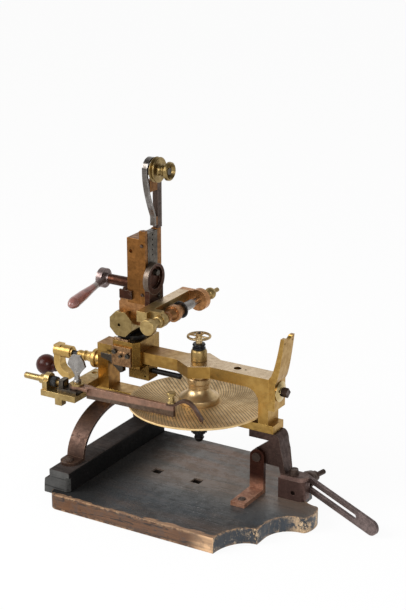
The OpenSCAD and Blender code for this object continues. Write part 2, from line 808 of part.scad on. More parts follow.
module dividing_plate() color(brass)
  difference() {
    union() {
      rod_z(0, 0, [plate_z - plate_t, plate_z], plate_d - 1);
      rod_z(0, 0, [plate_z - plate_t + 0.5, plate_z - 0.5], plate_d);
    }
    rod_z(0, 0, [plate_z - plate_t - 1, plate_z + 1], arbor_d + 2 * bolt_gap);
  }
module plate_hub() color(brass) {
  top = upper_bot - hub_gap;
  bore = arbor_d / 2 + bolt_gap;
  neck_z = plate_z + 22;
  turned_z(0, 0, concat(
    [[plate_z, bore], [plate_z, hub_d / 2 - 1], [plate_z + 2, hub_d / 2], [plate_z + 4, hub_d / 2]],
    [for (p = arc([hub_d / 2 - 2, neck_z], [(hub_d - neck_d) / 2 - 2, neck_z - plate_z - 6], 270, 180, 10))
      [p[1], p[0]]],
    [[top - 10, neck_d / 2], [top - 9, neck_d / 2 + 2.5], [top - 1, neck_d / 2 + 2.5], [top, neck_d / 2 + 1],
     [top, bore]]));
}
module work_collar() color(brass)
  turned_z(0, 0, [
    for (p = [[0, 0], [0, 1], [collar_h - 4, 1], [collar_h - 1, 0.9], [collar_h, 0.82], [collar_h, 0]])
      [upper_top + slide_gap + p[0], p[1] == 0 ? arbor_d / 2 + bolt_gap : collar_d / 2 * p[1]]]);
module handwheel() color(brass) {
  z0 = arbor_top + slide_gap;
  rim_z = z0 + wheel_hub_h - 5;
  rim_r = (wheel_d - rim_d) / 2;
  difference() {
    union() {
      translate([0, 0, rim_z]) rotate_extrude() translate([rim_r, 0]) circle(d = rim_d, $fn = 24);
      rod_z(0, 0, [z0, z0 + wheel_hub_h], 10);
      for (a = [0 : 90 : 270])
        rotate(a) rod_x([3, rim_r], 0, rim_z, rim_d * 0.75);
    }
    rod_z(0, 0, [z0 - 1, z0 + wheel_hub_h + 1], wheel_stud_d + 2 * run_gap);
  }
}

// Lead screw, thrust collar and crank
crank_x1 = left_out - 58;
crank_x0 = crank_x1 - 34;
crank_bend_r = 27;
knob_l = 37;
crank_hub_d = 21;
lead_end = -plate_r * 0.3;
module lead_screw() color(black_steel) {
  rod_x([crank_x0 + 1, lead_end - 2], 0, lead_z, lead_d);
  rod_x([lead_end - 4, lead_end], 0, lead_z, lead_d - 2);
}
module thrust_collar() color(brass) {
  bore = lead_d / 2 + run_gap;
  x = left_out;
  turned_x(0, lead_z, [
    [x, bore], [x, thrust_d / 2 - 3], [x - 10, thrust_d / 2 - 3], [x - 10, thrust_d / 2],
    [x - 16, thrust_d / 2], [x - 18, thrust_d / 2 - 2.5], [x - 21, 9], [x - 28, 8], [x - 31, 6.5],
    [x - 33, 8.5], [x - 36, 8.5], [x - 38, 6.5], [x - 44, 7.5], [x - 48, 6.5], [x - 48, bore]]);
}
module crank_arm() color(brass) {
  pin_z = lead_z - crank_throw;
  bend_z = pin_z + 13;
  x = crank_x0;
  r = crank_bend_r;
  difference() {
    union() {
      rod_x([x, crank_x1 - 3], 0, lead_z, crank_hub_d);
      rod_x([crank_x1 - 4, crank_x1], 0, lead_z, crank_hub_d - 5);
      slab_y([-8, 8])
        polygon(concat(
          [[x, lead_z + crank_hub_d / 2]],
          arc([x + r, bend_z], [r, r], 180, 275, 12),
          arc([x + r, bend_z], [r - crank_t, r - crank_t], 275, 180, 12),
          [[x + crank_t, lead_z + crank_hub_d / 2]]));
      rod_x([x - knob_l, x + 10], 0, pin_z, 6);
    }
    rod_x([x - 1, crank_x1 + 1], 0, lead_z, lead_d + 2 * bolt_gap);
  }
}
module crank_knob() color(red_wood) {
  x = crank_x0 - slide_gap;
  bore = 3 + run_gap;
  r = knob_d / 2;
  turned_x(0, lead_z - crank_throw, concat(
    [[x, bore], [x, 8], [x - 2.5, 8.6], [x - 4.5, 7.2]],
    [for (t = [25 : 12 : 155]) [x - knob_l + 16 + r * cos(t), r * sin(t)]],
    [[x - knob_l, 6], [x - knob_l, bore]]));
}

// Carriage on the upper bar
module saddle() color(brass)
  difference() {
    translate([0, 0, saddle_bot_z])
      linear_extrude(saddle_top_z - saddle_bot_z)
        polygon([
          [saddle_left, saddle_y0], [saddle_right - 8, saddle_y0], [saddle_right, saddle_y0 + 11],
          [saddle_right, saddle_y1], [saddle_left, saddle_y1]]);
    block([saddle_left - 1, saddle_right + 1], [-channel_half, channel_half],
      [saddle_bot_z - 1, upper_top + slide_gap]);
  }
module clamp_plate() color(bronze) {
  z0 = saddle_bot_z + 1;
  z1 = saddle_top_z - 8;
  difference() {
    block([saddle_left, saddle_right - 9], [saddle_y0 - clamp_t, saddle_y0], [z0, z1]);
    block([saddle_left - 1, saddle_right], [saddle_y0 - clamp_t - 1, saddle_y0 - clamp_t + 1.2],
      [z1 - 9, z1 - 7]);
  }
  block([saddle_left, saddle_right - 16], [saddle_y0, saddle_y0 + 6.5], [saddle_top_z, saddle_top_z + 3.5]);
}
module clamp_screws() color(black_steel)
  for (p = [[saddle_left + 6, 24, 9], [saddle_right - 14, 20, 9], [saddle_left + 17, 18, 6]])
    translate([p[0], saddle_y0 - clamp_t, saddle_bot_z + p[1]]) rotate([90, 30, 0])
      slotted_head(p[2], 3.4);
module clamp_lever() color(steel)
  slab_y([saddle_y0 + 4, saddle_y0 + 13])
    polygon([
      [saddle_left - 26, upper_bot + 10], [saddle_left, upper_bot + 10], [saddle_left, saddle_bot_z],
      [nut_left - 1, saddle_bot_z], [nut_left - 1, saddle_bot_z - 12], [nut_left - 6, saddle_bot_z - 14],
      [saddle_left - 9, saddle_bot_z + 1], [saddle_left - 26, upper_bot + 2]]);
module nut_block() color(bronze)
  difference() {
    union() {
      block([nut_left, nut_right], [-14, 12], [nut_bot, saddle_bot_z]);
      block([nut_left, saddle_right], [-channel_half - 9, saddle_y1],
        [saddle_bot_z - keeper_t, saddle_bot_z]);
    }
    rod_x([nut_left - 1, nut_right + 1], 0, lead_z, lead_d + 2 * run_gap);
    rod_y(nut_right - 7, [-15, -6], nut_bot + 6, 3.4);
  }
module swivel_pad() color(black_steel)
  difference() {
    rod_z(tilt_x, -2, [saddle_top_z, pad_top], 47);
    block([tilt_x - 30, tilt_x - 15], [-40, 40], [saddle_top_z - 1, pad_top + 1]);
    block([tilt_x - 30, tilt_x + 30], [cheek_y, 40], [saddle_top_z - 1, pad_top + 1]);
  }
module trunnion_bracket() color(brass) {
  w = knuckle_af - 4;
  slab_y([cheek_y, cheek_y + cheek_t]) {
    translate([tilt_x - w / 2, saddle_top_z]) square([w, tilt_h]);
    translate([tilt_x, tilt_z]) circle(d = w);
  }
  rod_y(tilt_x, [knuckle_front + 12, cheek_y + 1], tilt_z, tilt_d);
  rod_y(tilt_x, [cheek_y + cheek_t - 1, cheek_y + cheek_t + 5], tilt_z, tilt_d + 6);
}

// Tilting knuckle, column foot and column
module tilt_knuckle() color(brass)
  difference() {
    translate([tilt_x, knuckle_front, tilt_z]) rotate([-90, 22.5, 0])
      cylinder(h = knuckle_rear - knuckle_front, d = knuckle_af / cos(22.5), $fn = 8);
    rod_y(tilt_x, [knuckle_front + 11.5, knuckle_rear + 1], tilt_z, tilt_d + 2 * run_gap);
    rod_y(tilt_x - 3, [knuckle_front - 1, knuckle_front + 8], tilt_z - 2, 5);
  }
module column_base() color(bronze) {
  difference() {
    union() {
      block([tilt_x - 9, column_right], [column_y0, cheek_y - slide_gap], [column_bot - 14, column_bot]);
      block([tilt_x + 8, column_right - 3], [column_y0 + 3, cheek_y - slide_gap],
        [tilt_z - 2, column_bot - 13]);
    }
    translate([tilt_x, column_y0 - 1, tilt_z]) rotate([-90, 22.5, 0])
      cylinder(h = column_y + 2, d = knuckle_af / cos(22.5), $fn = 8);
  }
  block([column_left - 14, column_left], [column_y0, column_y1 - 15], [column_bot - 8, column_bot + 14]);
}
module column() color(bronze)
  difference() {
    block([column_left, groove_x], [column_y0, column_y1], [column_bot, column_top - column_step]);
    rod_x([column_left - 1, groove_x + 1], feed_y, feed_z, feed_d + 2 * run_gap);
    rod_x([groove_x - web_t - 2 * slide_gap, groove_x + 1], feed_y, feed_z, 2 * web_r + 2 * slide_gap);
    rod_y(column_left + 7, [column_y0 - 1, column_y0 + 5], column_top - 31, 6);
  }
module column_cheeks() color(bronze) {
  block([groove_x, column_right], [column_y0, slide_y0 - slide_gap], [column_bot, column_top + 3]);
  block([groove_x, column_right], [slide_y1 + slide_gap, column_y1], [column_bot, column_top]);
}
module head_screws() color(black_steel) {
  for (z = [column_top - 20, column_bot + 16])
    translate([groove_x + 5, column_y0, z]) rotate([90, 20, 0]) slotted_head(6, 1.6);
  block([column_left - 13, column_left + 9], [column_y0 - 3.5, column_y0],
    [column_bot + 6, column_bot + 20]);
  translate([column_left - 7, column_y0 + 5.5, column_bot + 14]) slotted_head(11, 7);
}
module feed_bearing() color(iron)
  difference() {
    union() {
      rod_x([lever_x1 + slide_gap, column_left], feed_y, feed_z, 16);
      block([column_left - 5, column_left], [feed_y - 9, feed_y + 9], [column_bot + 14.5, feed_z + 21]);
    }
    rod_x([lever_x1, column_left + 1], feed_y, feed_z, feed_d + 2 * run_gap);
  }

// Guide pulley arm on the column's top
bow_foot_z = column_top + 5;
bow_top_y = pulley_y - curl_r + bow_t / 2;
bow_rise = pulley_z - bow_foot_z;
bow_r = curl_r - bow_t / 2;
// Place of the bow's front leg, with s from 0 at the lower block to 1 at the pulley's height
function leg_y(s) = bow_foot_y + (bow_top_y - bow_foot_y) * sin(90 * s);
function leg_z(s) = bow_foot_z + 14 + (bow_rise - 14) * s;
// Centre line of the bow: a bulging front leg, then a half turn over the pulley's axis
function bow_line() = concat(
  [for (i = [0 : 14]) [leg_y(i / 14), leg_z(i / 14)]],
  [for (t = [170 : -10 : 20]) [pulley_y + bow_r * cos(t), pulley_z + bow_r * sin(t)]]);
// A strap of even thickness along a line of points
function unit(v) = v / norm(v);
function side_of(pts, i) =
  let (d = unit(pts[min(i + 1, len(pts) - 1)] - pts[max(i - 1, 0)])) [-d[1], d[0]];
module strap(pts, t)
  polygon(concat(
    [for (i = [0 : len(pts) - 1]) pts[i] + side_of(pts, i) * t / 2],
    [for (i = [len(pts) - 1 : -1 : 0]) pts[i] - side_of(pts, i) * t / 2]));
module pulley_bow() color(steel)
  slab_x([bow_x0, bow_x1]) {
    strap(bow_line(), bow_t);
    translate([bow_foot_y - bow_t / 2, bow_foot_z]) square([bow_t, 15]);
  }
module pulley_post() color(iron) {
  tongue_top = pulley_z + 7;
  slab_x([bow_x0, bow_x1])
    translate([post_y0, column_top]) square([post_t, pulley_z - column_top - 22]);
  difference() {
    slab_x([bow_x0 + 1, bow_x1])
      polygon([
        [post_y0, pulley_z - 34], [post_y1, pulley_z - 24], [pulley_y + 7, pulley_z - 6],
        [pulley_y + 6, tongue_top], [pulley_y - 6, tongue_top], [pulley_y - 6, pulley_z - 8],
        [post_y0, pulley_z - 15.5]]);
    rod_x([bow_x0 - 1, bow_x1 + 1], pulley_y, pulley_z, pulley_stud_d + 2 * bolt_gap);
  }
}
module spacer_blocks() color(bronze) {
  low = (pulley_z - 34.5 - leg_z(0)) / (pulley_z - leg_z(0));
  block([bow_x0, bow_x1], [bow_foot_y + bow_t / 2, post_y0], [bow_foot_z, bow_foot_z + 14]);
  block([bow_x0, bow_x1], [leg_y(low) + bow_t * 0.56, post_y0], [pulley_z - 34.5, pulley_z - 16]);
}
module pulley_stud() color(steel) {
  x1 = pulley_x0 + pulley_w;
  rod_x([bow_x0 - 3, x1 + spool_l + 4], pulley_y, pulley_z, pulley_stud_d);
  rod_x([bow_x0 - 3, bow_x0], pulley_y, pulley_z, 12);
  rod_x([bow_x1, pulley_x0 - slide_gap], pulley_y, pulley_z, 12);
  rod_x([x1 + spool_l + slide_gap, x1 + spool_l + 4], pulley_y, pulley_z, pulley_stud_d + 4);
}
module guide_pulley() color(brass) {
  x = pulley_x0;
  r = pulley_d / 2;
  w = pulley_w;
  e = x + w;
  f = e + spool_l;
  bore = pulley_stud_d / 2 + run_gap;
  turned_x(pulley_y, pulley_z, [
    [x, bore], [x, r - 1], [x + 1, r], [x + 2, r], [x + w / 2, r - 4], [e - 2, r], [e - 1, r], [e, r - 1],
    [e, 11], [e + 1, 9.5], [e + 4, 7.5], [e + 5, 9], [e + 6.5, 9.5], [e + 8, 9], [e + 9, 7.5], [f - 1, 8.5],
    [f, 13], [f + 1.5, 14.5], [f + 5.5, 14], [f + 7, 12], [f + 2, 8], [f, 7.5], [f, bore]]);
}

// Feed shaft with its crank pin, and the hand lever
module feed_shaft() color(steel) {
  rod_x([lever_x0 - 3, groove_x - web_t], feed_y, feed_z, feed_d);
  rod_x([groove_x - web_t - slide_gap, groove_x - slide_gap], feed_y, feed_z, 2 * web_r);
  rod_x([groove_x - 1, groove_x + 6], feed_y - feed_throw, feed_z, feed_pin_d);
}
// Frame of the hand lever: its origin is on the feed shaft, Z along the lever
module lever_frame()
  translate([(lever_x0 + lever_x1) / 2, feed_y, feed_z]) rotate([90 + lever_slope, 0, 0]) children();
module lever_arm() color(iron)
  difference() {
    union() {
      rod_x([lever_x0, lever_x0 + 10], feed_y, feed_z, 31);
      rod_x([lever_x0, lever_x1], feed_y, feed_z, 17);
      lever_frame() cylinder(h = 26, d1 = 16, d2 = 10.5);
    }
    rod_x([lever_x0 - 1, lever_x1 + 1], feed_y, feed_z, feed_d + 2 * bolt_gap);
  }
module lever_handle() color(horn_wood)
  lever_frame()
    rotate_extrude()
      polygon(concat(
        [[0, 26], [5.3, 26], [6, 40], [8.2, lever_l * 0.62]],
        [for (t = [10 : 16 : 90]) [9.5 * cos(t), lever_l - 17 + 17 * sin(t)]]));

// Vertical slide: steel strip with its two screws, eyed plate and cutter frame
module slide_strip() color(steel) {
  difference() {
    block([groove_x + slide_gap, slide_face], [slide_y0, slide_y1], [column_bot + 6, column_top - 1]);
    slab_x([groove_x, groove_x + 6.5])
      translate([slide_y0 - 1, feed_z - feed_pin_d / 2 - pin_gap])
        square([slide_w + 2, feed_pin_d + 2 * pin_gap]);
    for (i = [0 : 4])
      rod_x([slide_face - 4, slide_face + 1], feed_y, column_top - 6 - 8 * i, 3);
  }
  translate([eye_face - 5, eye_y + 4, eye_z + 9]) rotate([0, 90, 0]) slotted_head(11, 6);
  translate([eye_face, eye_y + 8, column_bot + 11]) rotate([0, 90, 0]) slotted_head(7, 2.5);
}
module slide_plate() color(iron)
  difference() {
    slab_x([slide_face, eye_face]) {
      translate([eye_y, eye_z]) circle(r = eye_r);
      translate([eye_y - eye_r + 5, plate_low]) square([2 * eye_r - 10, eye_z - plate_low]);
    }
    rod_x([eye_face - 5, eye_face + 1], eye_y, eye_z + 2, 2 * eye_r - 14);
  }
module cutter_frame() color(brass) {
  x_in = slide_face;
  difference() {
    union() {
      block([rail_left, rail_right], [-frame_half - 10, ear_in + 2], [rail_bot, rail_top]);
      block([x_in, rail_left + 1], [eye_y - 13, eye_y + 13], [rail_bot, plate_low]);
      block([rail_left, -spindle_x + 2], [-frame_half, -ear_in], [spindle_z - 8, rail_top]);
      block([rail_left, -spindle_x - 3], [ear_in, frame_half - 1], [rail_bot + 1, rail_top]);
      rod_y(-spindle_x, [-frame_half, -ear_in], spindle_z, 21);
      rod_y(-spindle_x, [ear_in, frame_half], spindle_z, ear_d);
    }
    for (y = [[-frame_half - 1, 1 - ear_in], [ear_in - 1, frame_half + 1]])
      rod_y(-spindle_x, y, spindle_z, spindle_d + 2 * bolt_gap);
  }
}
module spindle_centres() color(brass) {
  x = -spindle_x;
  f = frame_half;
  tip = ear_in - 3;
  turned_y(x, spindle_z, [
    [-tip, 0], [-tip - 3, spindle_d / 2], [-f, spindle_d / 2], [-f, 9], [-f - 5, 9], [-f - 6, 7],
    [-f - 24, 7], [-f - 25, 12.5], [-f - 33, 12.5], [-f - 34, 11.5], [-f - 34, 0]]);
  turned_y(x, spindle_z, concat(
    [[tip, 0], [tip + 3, spindle_d / 2], [f, spindle_d / 2], [f, 8], [f + 6, 8], [f + 8, 5.5],
     [f + 18, 5.5]],
    [for (t = [145 : -15 : 25]) [f + 27 + 9.5 * cos(t), 9.5 * sin(t)]],
    [[f + 37, 3.5], [f + 50, 3.5], [f + 51, 2.5], [f + 51, 0]]));
}

// Cutter spindle with its cutter and driving cone
cutter_y = 0;
module cutter_arbor() color(steel) {
  x = -spindle_x;
  e = ear_in - slide_gap;
  difference() {
    turned_y(x, spindle_z, [
      [-e, 0], [-e, 5], [1 - e, spindle_d / 2 + 1.5], [-12, spindle_d / 2 + 1.5], [-12, spindle_d / 2],
      [7, spindle_d / 2], [7, 7], [33, 7], [34, 5.5], [e, 5.5], [e, 0]]);
    for (s = [-1, 1])
      translate([x, s * (ear_in - 3) - s * 0.4, spindle_z]) rotate([-90 * s, 0, 0])
        cylinder(h = 4, d1 = 0.5, d2 = 11);
  }
}
module cutter() color(black_steel)
  difference() {
    rod_y(-spindle_x, [cutter_y - cutter_t / 2, cutter_y + cutter_t / 2], spindle_z, cutter_d);
    rod_y(-spindle_x, [cutter_y - cutter_t, cutter_y + cutter_t], spindle_z, spindle_d + 2 * bolt_gap);
    for (i = [1 : cutter_teeth])
      translate([-spindle_x, cutter_y, spindle_z]) rotate([0, 360 / cutter_teeth * i, 0])
        translate([cutter_d / 2 - 1.4, -cutter_t, 0]) rotate([0, 20, 0]) cube([5, 2 * cutter_t, 0.9]);
  }
module spindle_cone() color(bronze) {
  x = -spindle_x;
  b = spindle_d / 2 + bolt_gap;
  c = b + 1.5;
  turned_y(x, spindle_z, [
    [-44, c], [-44, 8], [-42, 9], [-34, 7], [-26, 10], [-24, 10], [-24, 13], [-15, 13], [-14, 12],
    [-12, 11], [-12, c]]);
  turned_y(x, spindle_z, [
    [-12, b], [-12, 10], [-cutter_t / 2, 9], [-cutter_t / 2, b]]);
  turned_y(x, spindle_z, [[cutter_t / 2, b], [cutter_t / 2, 10], [6, 9], [7, 8], [7, b]]);
}

// Index stage with its micrometer, slide, alidade and spring
module index_carrier() color(brass)
  difference() {
    block([carrier_left, left_out], [carrier_front, bar_half], [lower_top, carrier_top]);
    rod_z(carrier_left + 10, 0, [carrier_top - 3, carrier_top + 1], 10);
  }
module index_stage() color(brass)
  difference() {
    union() {
      block([stage_left, stage_right], [stage_front, carrier_front], [stage_bot, stage_top]);
      slab_x([stage_left, stage_left + upright_t]) {
        translate([stage_front + 4, stage_bot]) square([stage_w - 8, micro_z - stage_bot + 3]);
        translate([micro_y, micro_z + 3]) circle(d = 20);
      }
      block([carrier_left, carrier_left + 13], [stage_front, stage_front + 12], [stage_bot - 10, stage_bot]);
    }
    rod_x([stage_left - 1, stage_left + upright_t + 1], micro_y, micro_z, micro_d + 2 * run_gap);
  }
module micrometer_screw() color(brass) {
  x = stage_left;
  turned_x(micro_y, micro_z, [
    [x - 42, 0], [x - 42, 4], [x - 41, 5], [x - 12, 5], [x - 11, 7.5], [x - 2, 7.5], [x - slide_gap, 6.5],
    [x - slide_gap, micro_d / 2], [x + upright_t + slide_gap, micro_d / 2],
    [x + upright_t + slide_gap, 7], [x + upright_t + 4, 8], [x + upright_t + 11, 8], [x + upright_t + 12, 6],
    [x + upright_t + 12, micro_d / 2], [lug_x + 8, micro_d / 2], [lug_x + 8, 0]]);
}
module index_slide() color(steel)
  difference() {
    union() {
      block([lug_x, stage_right - 2], [stage_front + 6, carrier_front - 4],
        [stage_top + slide_gap, slide_top]);
      block([lug_x, lug_x + 8], [micro_y - 8, micro_y + 8], [slide_top - 1, micro_z + 8]);
    }
    rod_x([lug_x - 1, lug_x + 9], micro_y, micro_z, micro_d + 2 * run_gap);
    rod_z(pivot_x, -pivot_y, [stage_top, slide_top + 1], pivot_d + 2 * run_gap);
  }
// Frame of the alidade: its origin is on the pivot, X along the arm
module alidade_frame()
  translate([pivot_x, -pivot_y, 0]) rotate(-alidade_turn) children();
module alidade() color(iron)
  alidade_frame()
    difference() {
      union() {
        rod_z(0, 0, [eye_bot, eye_top], 24);
        block([0, 26], [-9, 9], [eye_bot, eye_top]);
        slab_y([-alidade_t / 2, alidade_t / 2])
          polygon([
            [20, plate_z - 3], [80, plate_z + 1.5], [alidade_l, alidade_bot], [alidade_l, alidade_top],
            [30, eye_top + 2], [16, eye_top], [16, eye_bot], [20, eye_bot]]);
      }
      rod_z(0, 0, [eye_bot - 1, eye_top + 1], pivot_d + 2 * run_gap);
    }
// Centre line of the index spring: flat on the arm, then an arch down to the point
spring_root = -12;
spring_tip_z = plate_z + 5;
function spring_line() = concat(
  [[spring_root, spring_z], [2, spring_z]],
  [for (i = [1 : 16]) let (s = i / 16)
    [2 + (spring_l - 2) * s, spring_z + (spring_tip_z - spring_z) * s * s + 11 * sin(180 * s)]]);
// Frame of the spring: its origin is on the alidade's end, X towards the point
module spring_frame()
  alidade_frame() translate([alidade_l, 0, 0]) rotate(spring_turn) children();
module index_spring() color(iron)
  spring_frame() {
    slab_y([-spring_w / 2, spring_w / 2]) strap(spring_line(), spring_t);
    translate([spring_l, 0, plate_z + 0.4]) cylinder(h = 6, d1 = 0.8, d2 = 4);
  }
module lift_knob() color(brass)
  spring_frame()
    turned_z(-5, 0, [
      for (p = [[0, 0], [0, 6.5], [2, 6.5], [3, 5], [8.5, 5], [9.5, 4], [11.5, 4], [12.5, 7], [16.5, 7],
          [17.5, 6], [17.5, 0]])
        [spring_z + spring_t / 2 + p[0], p[1]]]);
module thumbscrew() {
  z = washer_top;
  spade_z = z + 29;
  color(brass)
    difference() {
      rod_z(pivot_x, -pivot_y, [eye_top + slide_gap, z], 22);
      rod_z(pivot_x, -pivot_y, [eye_top, z + 1], pivot_d + 2 * bolt_gap);
    }
  color(steel) {
    turned_z(pivot_x, -pivot_y, [
      [stage_top + slide_gap + 0.4, 0], [stage_top + slide_gap + 0.4, pivot_d / 2], [z, pivot_d / 2], [z, 6],
      [z + 4, 6.5], [z + 6, 4.5], [z + 18, 4], [z + 18, 0]]);
    slab_y([-pivot_y - 2, 2 - pivot_y])
      translate([pivot_x, 0])
        polygon([
          [-4, z + 14], [4, z + 14], [8, z + 20], [spade_w / 2, spade_z], [spade_w / 2 - 3, spade_z + 9],
          [7, spade_z + 17], [-7, spade_z + 17], [3 - spade_w / 2, spade_z + 9], [-spade_w / 2, spade_z],
          [-8, z + 20]]);
  }
}

base_board();
end_batten();
arch_strap();
right_leg();
front_stay();
foot_block();
frame_screws();
lower_bar();
upper_frame();
left_pillar();
horn();
horn_bolt();
pivot_screw();
thrust_collar();
index_carrier();
index_stage();
link_stud();
slotted_link();
arbor();
dividing_plate();
plate_hub();
work_collar();
handwheel();
lead_screw();
crank_arm();
crank_knob();
saddle();
clamp_plate();
clamp_screws();
clamp_lever();
nut_block();
swivel_pad();
trunnion_bracket();
tilt_knuckle();
column_base();
column();
column_cheeks();
head_screws();
feed_bearing();
pulley_bow();
pulley_post();
spacer_blocks();
pulley_stud();
guide_pulley();
feed_shaft();
lever_arm();
lever_handle();
slide_strip();
slide_plate();
cutter_frame();
spindle_centres();
cutter_arbor();
cutter();
spindle_cone();
micrometer_screw();
index_slide();
alidade();
index_spring();
lift_knob();
thumbscrew();
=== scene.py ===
"""Looks of the wheel cutting engine: finishes for its brass, iron, steel and wood, and its fine
turned and drilled detail."""

import json
import math
from dataclasses import dataclass

import bpy
import numpy as np
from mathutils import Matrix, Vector

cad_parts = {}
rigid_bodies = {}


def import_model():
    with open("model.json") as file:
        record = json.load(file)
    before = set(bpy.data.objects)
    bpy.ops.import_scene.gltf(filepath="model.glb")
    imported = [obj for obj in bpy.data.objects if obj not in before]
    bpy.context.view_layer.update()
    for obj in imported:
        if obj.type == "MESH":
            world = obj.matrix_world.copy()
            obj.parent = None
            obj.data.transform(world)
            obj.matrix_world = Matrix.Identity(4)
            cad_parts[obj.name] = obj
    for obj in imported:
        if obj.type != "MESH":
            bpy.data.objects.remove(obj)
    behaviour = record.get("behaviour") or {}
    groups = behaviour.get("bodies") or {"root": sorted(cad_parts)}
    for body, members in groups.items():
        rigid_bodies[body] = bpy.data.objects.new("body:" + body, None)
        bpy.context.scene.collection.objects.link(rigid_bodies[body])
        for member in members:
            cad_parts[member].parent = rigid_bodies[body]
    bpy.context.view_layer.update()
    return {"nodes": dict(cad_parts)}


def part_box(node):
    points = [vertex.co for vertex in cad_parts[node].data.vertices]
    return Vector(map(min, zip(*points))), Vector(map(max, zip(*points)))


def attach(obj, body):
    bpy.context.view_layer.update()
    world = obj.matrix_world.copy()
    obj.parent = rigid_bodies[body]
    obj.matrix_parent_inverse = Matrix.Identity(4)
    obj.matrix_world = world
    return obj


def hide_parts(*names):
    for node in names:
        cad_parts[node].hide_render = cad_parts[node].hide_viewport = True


for leftover in list(bpy.data.objects):
    bpy.data.objects.remove(leftover)
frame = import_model()

bl_info = {
    "name": "Wheel cutting engine",
    "version": (1, 0, 0),
    "blender": (4, 5, 0),
    "location": "View3D > Sidebar > Engine",
    "description": "Finishes and fine detail of a clockmaker's wheel cutting engine",
    "category": "Object",
}

MM = 0.001
TURN = 2 * np.pi

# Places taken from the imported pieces, in metres
_, PLATE_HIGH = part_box("dividing_plate")
LEAD_LOW, LEAD_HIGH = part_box("lead_screw")
_, PILLAR_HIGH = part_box("left_pillar")
STAGE_LOW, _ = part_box("index_stage")
MICRO_LOW, MICRO_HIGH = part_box("micrometer_screw")
_, BOLT_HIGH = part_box("horn_bolt")
SPADE_LOW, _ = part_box("thumbscrew")
BOARD_LOW, BOARD_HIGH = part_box("base_board")
_, HANDLE_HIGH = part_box("lever_handle")
EYE_LOW, EYE_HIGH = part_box("slide_plate")
_, UPPER_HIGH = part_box("upper_frame")
HUB_LOW, HUB_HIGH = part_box("plate_hub")
_, FOOT_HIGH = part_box("foot_block")

# Places where the finish of a metal piece changes, in metres. On the rail's top and on the bar's top at the right,
# a paler brass is a painted reflection
WASHER_END = BOLT_HIGH.x - 9.4 * MM
SPADE_START = SPADE_LOW.z + 13.8 * MM
FERRULE_START = HANDLE_HIGH.y - 10 * MM
RAIL_TOP, RAIL_FRONT, RAIL_REAR = 0.30275, -0.02, 0.0495
BAR_TOP, BAR_PAINTED_REFLECTION, BAR_BROWN = UPPER_HIGH.z - 0.6 * MM, -0.015, -0.055
STAY_BEND = BOARD_HIGH.z + 19 * MM
FLANGE_TOP = FOOT_HIGH.z + 6.5 * MM
RIDGE_SLOPE = 0.085
RIDGE_HEIGHT = PLATE_HIGH.z + 5 * MM + RIDGE_SLOPE * 0.132

# The lead screw's thread, the micrometer's knurl and the field of holes, in metres
THREAD_START, THREAD_DEPTH, THREAD_END_SHARE = PILLAR_HIGH.x + 1 * MM, 0.7 * MM, 0.985
KNURL_START, KNURL_LENGTH, KNURL_RADIUS = STAGE_LOW.x + 9.6 * MM, 11.2 * MM, 8.5 * MM
KNURL_FLUTES, KNURL_DEPTH = 36, 0.5 * MM
HOLES_INNER, HOLES_OUTER = 36 * MM, PLATE_HIGH.x - 3 * MM

# Bands of the board, in metres: a mark grows from the first place to the second. Most are wear, but the batten's
# band holds painted shadow, the low and pit bands painted shade, and the dust band dust with a painted sheen
BATTEN_SHADOW_BAND = (-0.115, -0.03)
DUST_AND_SHEEN_BAND = (-0.12, 0)
RUBBED_BAND = (-0.06, 0.08)
PALE_BAND = (0.085, 0.125)
LIP_BAND = (-0.06, 0.1)
RIGHT_BAND, FRONT_BAND = (0.085, 0.11), (-0.145, -0.16)
PEELED_BAND = (BOARD_HIGH.x - 34 * MM, BOARD_HIGH.x - 12 * MM)
FACE_BAND = (BOARD_LOW.y + 5 * MM, BOARD_LOW.y + 2 * MM)
LOW_SHADE_BAND = (BOARD_LOW.z, BOARD_LOW.z + 0.75 * (BOARD_HIGH.z - BOARD_LOW.z))
PIT_SHADE_BAND = (BOARD_HIGH.z - 2 * MM, BOARD_HIGH.z - 4 * MM)

# Colours of the worn board and batten, beside those that a user may change. Among them are painted shadow beside
# the batten, painted shade low on the board and on the batten's sides, painted light on the batten's front, and a
# dust colour that also paints sheen
DUST_AND_SHEEN, RUBBED, PALE_SPECK = (0.158, 0.136, 0.11), (0.17, 0.086, 0.043), (0.2, 0.19, 0.18)
CRACK, SHADOW, PIT_SHADE = (0.012, 0.008, 0.006), (0.002, 0.002, 0.002), (0.01, 0.006, 0.004)
LIP, DARK_LIP, PALE_WOOD = (0.33, 0.185, 0.1), (0.13, 0.07, 0.038), (0.62, 0.385, 0.21)
BLUE, DEEP_BLUE, FLAKE = (0.034, 0.044, 0.057), (0.018, 0.022, 0.028), (0.5, 0.4, 0.29)
PEELED, CHAR, SPLINTER = (0.56, 0.39, 0.23), (0.006, 0.006, 0.006), (0.6, 0.43, 0.26)
CHIP, THIN_CHIP = (0.46, 0.28, 0.15), (0.66, 0.4, 0.21)
BATTEN_SIDE_SHADE = (0.002, 0.002, 0.002), (0.005, 0.004, 0.004)
BATTEN_TOP = (0.05, 0.038, 0.034), (0.028, 0.022, 0.02)
BATTEN_LIT_FRONT = (0.085, 0.083, 0.078), (0.05, 0.049, 0.047)
BATTEN_PORE, BATTEN_EDGE, BATTEN_SPECK = (0.003, 0.003, 0.003), (0.09, 0.06, 0.045), (0.08, 0.075, 0.07)
FERRULE = (0.2, 0.16, 0.14)
WARM, BROWN = (1, 0.86, 0.62), (1, 0.78, 0.52)

